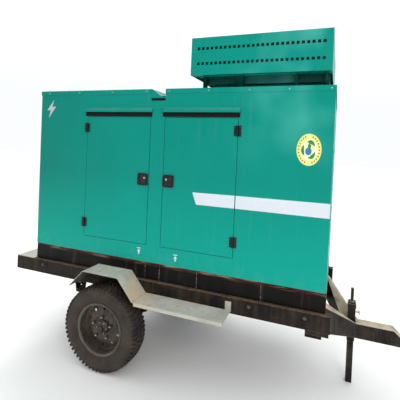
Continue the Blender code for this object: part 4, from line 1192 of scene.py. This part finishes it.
# ---------------------------------------------------------------- engine room
def engine_room():
    refined("engine_block", "engine", 0.004)
    refined("radiator", "plastic", 0.003)
    core_low, core_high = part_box("radiator")
    core = box((core_low.x + 0.0145, core_high.x - 0.0145), (-0.338, 0.338), (FOOT + 0.215, FOOT + 1.065))
    piece("radiator_fins", core, "fins")
    refined("battery", "plastic", 0.004)
    refined("fuel_tank", "skid", 0.006)
    refined("fan_belt", "belt", 0.0012)
    refined("cooling_fan", "plastic", 0.001, body="fan")
    refined("crank_pulley", "dark_steel", 0.001, body="crank")

    low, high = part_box("silencer")
    axis_z, y = FOOT + 1.24, 0.16
    shell = [(0, 0.0), (0.060, 0.0), (0.075, 0.003), (0.096, 0.016), (0.100, 0.026), (0.100, 0.66),
             (0.098, 0.676), (0.080, 0.694), (0.062, 0.70), (0, 0.70)]
    strap = [(0.0995, 0.0), (0.1035, 0.0), (0.1035, 0.02), (0.0995, 0.02)]
    straps = [lathe(strap, "x", (low.x + x, y, axis_z), 64) for x in (0.06, 0.32, 0.60)]
    tail_x, inlet_x, rise = low.x + 0.60, low.x + 0.15, high.z - axis_z
    wall = [(0.035, -0.12), (0.035, rise), (0.0325, rise), (0.0325, -0.12)]
    disc = [(0, -0.01), (0.055, -0.01), (0.055, 0.0), (0, 0.0)]
    tail = lathe(wall, "z", (tail_x, y, axis_z), 40)
    flange = lathe(disc, "z", (tail_x, y, axis_z + 0.125), 40)
    inlet = rod("z", (inlet_x, y, axis_z - 0.17), 0.035, 0.34, 40)
    can = lathe(shell, "x", (low.x, y, axis_z), 72)
    piece("silencer_shell", [can, *straps], "wrap", stands_for="silencer")
    piece("exhaust_pipes", [tail, inlet, flange], "cast")

    low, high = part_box("air_filter")
    centre = (low.x, -0.19, FOOT + 1.08)
    ribs = [(0, 0.0), (0.078, 0.0), (0.085, 0.006)]
    for number in range(9):
        start = 0.03 + number * 0.032
        ribs += [(0.085, start), (0.0825, start + 0.003), (0.0825, start + 0.009), (0.085, start + 0.012)]
    ribs += [(0.085, 0.335), (0.078, 0.345), (0.045, 0.360), (0.040, 0.370), (0.040, 0.42), (0, 0.42)]
    piece("air_cleaner", lathe(ribs, "x", centre, 64), "plastic", stands_for="air_filter")
    steps = [(-0.01, 0, 1.08), (0.05, 0, 1.08), (0.07, 0, 0.98), (0.02, 0, 0.80), (0.02, 0, 0.73)]
    pipe("intake_hose", (high.x, -0.19, FOOT), steps, 0.036, "hose")

    alternator()
    engine_details()
    controls()

    low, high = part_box("fuel_cap")
    middle = (low + high) / 2
    cap = [(0, 0.040), (0.030, 0.0395), (0.0365, 0.037), (0.0395, 0.031), (0.0400, 0.0), (0.0285, 0.0),
           (0.0285, 0.0118), (0, 0.0118)]
    ring = [(0.0388 * math.cos(turn), 0.0388 * math.sin(turn)) for turn in circle(18, 0.1)]
    grips = [rod("z", (middle.x + x, middle.y + y, low.z + 0.017), 0.0016, 0.026, 8) for x, y in ring]
    ridge = box((middle.x - 0.030, middle.x + 0.030), (middle.y - 0.005, middle.y + 0.005),
                (high.z - 0.008, high.z))
    body = lathe(cap, "z", (middle.x, middle.y, low.z), 56)
    piece("fuel_filler_cap", [body, *grips, ridge], "plastic", "fuel_cap", stands_for="fuel_cap")


def alternator():
    refined("alternator", "engine", 0.003)
    axis_z = FOOT + 0.42
    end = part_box("alternator")[1].x
    rib = [(0.199, 0), (0.209, 0.001), (0.209, 0.005), (0.199, 0.006)]
    ribs = [lathe(rib, "x", (end - 0.18 - number * 0.020, 0, axis_z), 72, -1) for number in range(16)]
    piece("alternator_ribs", ribs, "engine")
    vents = []
    for turn in circle(14, math.pi / 14):
        matrix = Matrix.Translation((end - 0.5795, 0, axis_z)) @ Matrix.Rotation(turn, 4, "X")
        vents.append(placed(box((-0.0022, 0.0022), (-0.016, 0.016), (0.085, 0.155)), matrix))
    piece("alternator_vents", vents, "trim")
    lid_bolts = []
    for x in (end - 0.46, end - 0.20):
        for y in (-0.14, 0.14):
            lid_bolts += bolt("z", (x, y, axis_z + 0.34), 0.006)
    piece("terminal_box_bolts", lid_bolts, "zinc")


def engine_details():
    low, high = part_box("engine_block")
    top = FOOT + 0.93
    start = low.x + 0.05
    bolts, injectors = [], []
    for number in range(4):
        x = start + 0.10 + number * 0.15
        bolts += bolt("z", (x, 0.0, top), 0.009)
        injectors.append(rod("z", (x + 0.05, -0.135, FOOT + 0.80), 0.011, 0.10, 20))
        steps = [(x + 0.05, -0.135, 0.85), (x + 0.05, -0.14, 0.90), (x + 0.03, -0.20, 0.90),
                 (start + 0.30, -0.255, 0.80), (start + 0.26 + number * 0.02, -0.262, 0.60)]
        pipe(f"injector_line_{number + 1}", (0, 0, FOOT), steps, 0.0035, "zinc")
    piece("rocker_cover_bolts", bolts, "zinc")
    piece("injectors", injectors, "brass")
    pump = [rod("x", (start + 0.29, -0.235, FOOT + 0.56), 0.045, 0.16, 40, 0.004)]
    pump += [rod("z", (start + 0.26 + number * 0.02, -0.262, FOOT + 0.60), 0.007, 0.03, 6)
             for number in range(4)]
    piece("injection_pump", pump, "dark_steel")
    manifold = [rod("x", (start + 0.31, 0.205, FOOT + 0.70), 0.034, 0.50, 36, 0.008)]
    for number in range(4):
        manifold.append(rod("y", (start + 0.10 + number * 0.14, 0.155, FOOT + 0.70), 0.026, 0.10, 28, 0.003))
    manifold.append(rod("z", (start + 0.30, 0.205, FOOT + 0.80), 0.032, 0.20, 36, 0.003))
    piece("exhaust_manifold", manifold, "cast")
    canister = [(0, 0), (0.040, 0.0), (0.045, 0.008), (0.045, 0.105), (0.030, 0.125), (0, 0.125)]
    fuel_filter = lathe(canister, "z", (start + 0.50, -0.215, FOOT + 0.60), 40)
    piece("fuel_filter", fuel_filter, "yellow")
    rad_low, rad_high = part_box("radiator")
    gap = rad_low.x - high.x
    steps = [(-0.10, 0.06, 0.86), (-0.08, 0.06, 0.98), (0.06, 0.10, 1.10), (gap - 0.06, 0.14, 1.135),
             (gap + 0.01, 0.14, 1.135)]
    pipe("radiator_top_hose", (high.x, 0, FOOT), steps, 0.024, "hose")
    steps = [(-0.06, -0.12, 0.36), (0.05, -0.20, 0.30), (gap - 0.08, -0.24, 0.16), (gap + 0.01, -0.24, 0.16)]
    pipe("radiator_bottom_hose", (high.x, 0, FOOT), steps, 0.024, "hose")
    cap = [(0, 0.016), (0.018, 0.015), (0.030, 0.010), (0.032, 0.0), (0, 0.0)]
    piece("radiator_cap", lathe(cap, "z", (REAR + 2.465, 0.20, rad_high.z - 0.003), 40), "zinc")


def controls():
    low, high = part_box("control_panel")
    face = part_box("key_switch")[1].y + 0.0003
    case = box((low.x, high.x), (face, high.y), (low.z, high.z))
    cabinet = piece("control_cabinet", case, "cabinet", stands_for="control_panel", bevel=0.002)
    stop_low, stop_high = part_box("emergency_stop")
    stop_x, stop_z = (stop_low.x + stop_high.x) / 2, (stop_low.z + stop_high.z) / 2
    carved(cabinet, [rod("y", (stop_x, face, stop_z), 0.0112, 0.03, 40)])
    board_x, board_z = low.x + 0.02, FOOT + 0.96
    raised = box((board_x, board_x + 0.24), (low.y, face + 0.002), (board_z, board_z + 0.21))
    piece("instrument_board", raised, "cabinet", bevel=0.002)
    plate = face - 0.006
    bezel = picture_frame((board_x + 0.03, board_x + 0.17), (board_z + 0.09, board_z + 0.19),
                          (plate - 0.004, plate + 0.001), 0.012)
    piece("controller_bezel", bezel, "plastic", bevel=0.0015)
    screen = box((board_x + 0.040, board_x + 0.160), (plate - 0.0015, plate + 0.001),
                 (board_z + 0.10, board_z + 0.18))
    piece("controller_screen", screen, "screen")
    button_x = [board_x + 0.03 + number * 0.035 for number in range(5)]
    buttons = [rod("y", (x, plate - 0.001, board_z + 0.045), 0.009, 0.006, 28, 0.0015) for x in button_x]
    piece("controller_buttons", buttons, "plastic")
    lamps = [dome("y", (low.x + 0.31 + number * 0.035, face - 0.0005, FOOT + 1.14), 0.007, 0.006, -1, 20)
             for number in range(3)]
    piece("warning_lamps", lamps, "yellow")
    dials, dial_faces, marks = [], [], []
    rim = [(0.030, 0.0), (0.034, 0.0), (0.034, 0.006), (0.030, 0.007)]
    disc = [(0, 0.002), (0.030, 0.002), (0.030, -0.001), (0, -0.001)]
    for number in range(2):
        centre = (low.x + 0.245 + number * 0.078, face, FOOT + 0.910)
        dials.append(lathe(rim, "y", centre, 48, -1))
        dial_faces.append(lathe(disc, "y", centre, 48, -1))
        for tick in range(9):
            turn = math.radians(225 - tick * 33.75)
            x, z = centre[0] + 0.024 * math.cos(turn), centre[2] + 0.024 * math.sin(turn)
            line = box((-0.003, 0.003), (-0.0003, 0.0003), (-0.0005, 0.0005))
            place = Matrix.Translation((x, centre[1] - 0.0022, z))
            marks.append(placed(line, place @ Matrix.Rotation(-turn, 4, "Y")))
        needle = box((-0.002, 0.020), (-0.0003, 0.0003), (-0.0007, 0.0007))
        pivot = Matrix.Translation((centre[0], centre[1] - 0.0028, centre[2]))
        marks.append(placed(needle, pivot @ Matrix.Rotation(-2.3, 4, "Y")))
    piece("dial_bezels", dials, "plastic")
    piece("dial_faces", dial_faces, "white")
    piece("dial_marks", marks, "trim")

    ring = [(0.0115, 0.0), (0.030, 0.0), (0.030, 0.002), (0.0115, 0.002)]
    piece("stop_ring", lathe(ring, "y", (stop_x, face - 0.0002, stop_z), 48, -1), "yellow")
    depth = stop_high.y - stop_low.y
    button = [(0, depth), (0.010, depth - 0.0006), (0.0165, depth - 0.004), (0.020, depth - 0.010),
              (0.020, 0.0155), (0.018, 0.0142), (0.010, 0.0135), (0.010, 0.0), (0, 0.0)]
    knob = lathe(button, "y", (stop_x, stop_high.y, stop_z), 48, -1)
    piece("stop_button", knob, "red", "emergency_stop", stands_for="emergency_stop")

    key_low, key_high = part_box("key_switch")
    x, z = (key_low.x + key_high.x) / 2, (key_low.z + key_high.z) / 2
    lock = [(0, 0.0), (0.0118, 0.0), (0.0118, 0.009), (0.0105, 0.0118), (0, 0.0118)]
    barrel = lathe(lock, "y", (x, key_high.y, z), 40, -1)
    blade = box((x - 0.0012, x + 0.0012), (key_low.y, key_high.y - 0.011), (z - 0.0105, z + 0.0105))
    piece("ignition_key", [barrel, blade], "zinc", "key", stands_for="key_switch")

    bat_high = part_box("battery")[1]
    clamps = [rod("z", (REAR + x, -0.42, bat_high.z - 0.006), 0.014, 0.014, 28, 0.002) for x in (1.67, 1.87)]
    piece("battery_clamps", clamps, "brass")
    top = bat_high.z - FOOT
    steps = [(1.67, -0.42, top - 0.004), (1.64, -0.41, top + 0.02), (1.58, -0.36, top - 0.02),
             (1.55, -0.28, 0.26), (1.55, -0.20, 0.33)]
    pipe("battery_lead_red", (REAR, 0, FOOT), steps, 0.006, "red")
    steps = [(1.87, -0.42, top - 0.004), (1.90, -0.41, top + 0.02), (1.95, -0.38, top - 0.03),
             (1.97, -0.34, 0.16), (1.97, -0.33, 0.02)]
    pipe("battery_lead_black", (REAR, 0, FOOT), steps, 0.006, "plastic")
    steps = [(0.40, -0.36, 0.805), (0.40, -0.36, 0.74), (0.44, -0.30, 0.70), (0.46, -0.20, 0.66),
             (0.46, -0.15, 0.66)]
    pipe("control_conduit", (low.x, 0, FOOT), steps, 0.012, "hose")


camera_and_stage()
for wheel_side, wheel_hand in HANDS.items():
    wheel(wheel_side, wheel_hand)
running_gear()
drawbar()
side_panels()
doors()
end_and_roof_panels()
hood()
stickers()
engine_room()
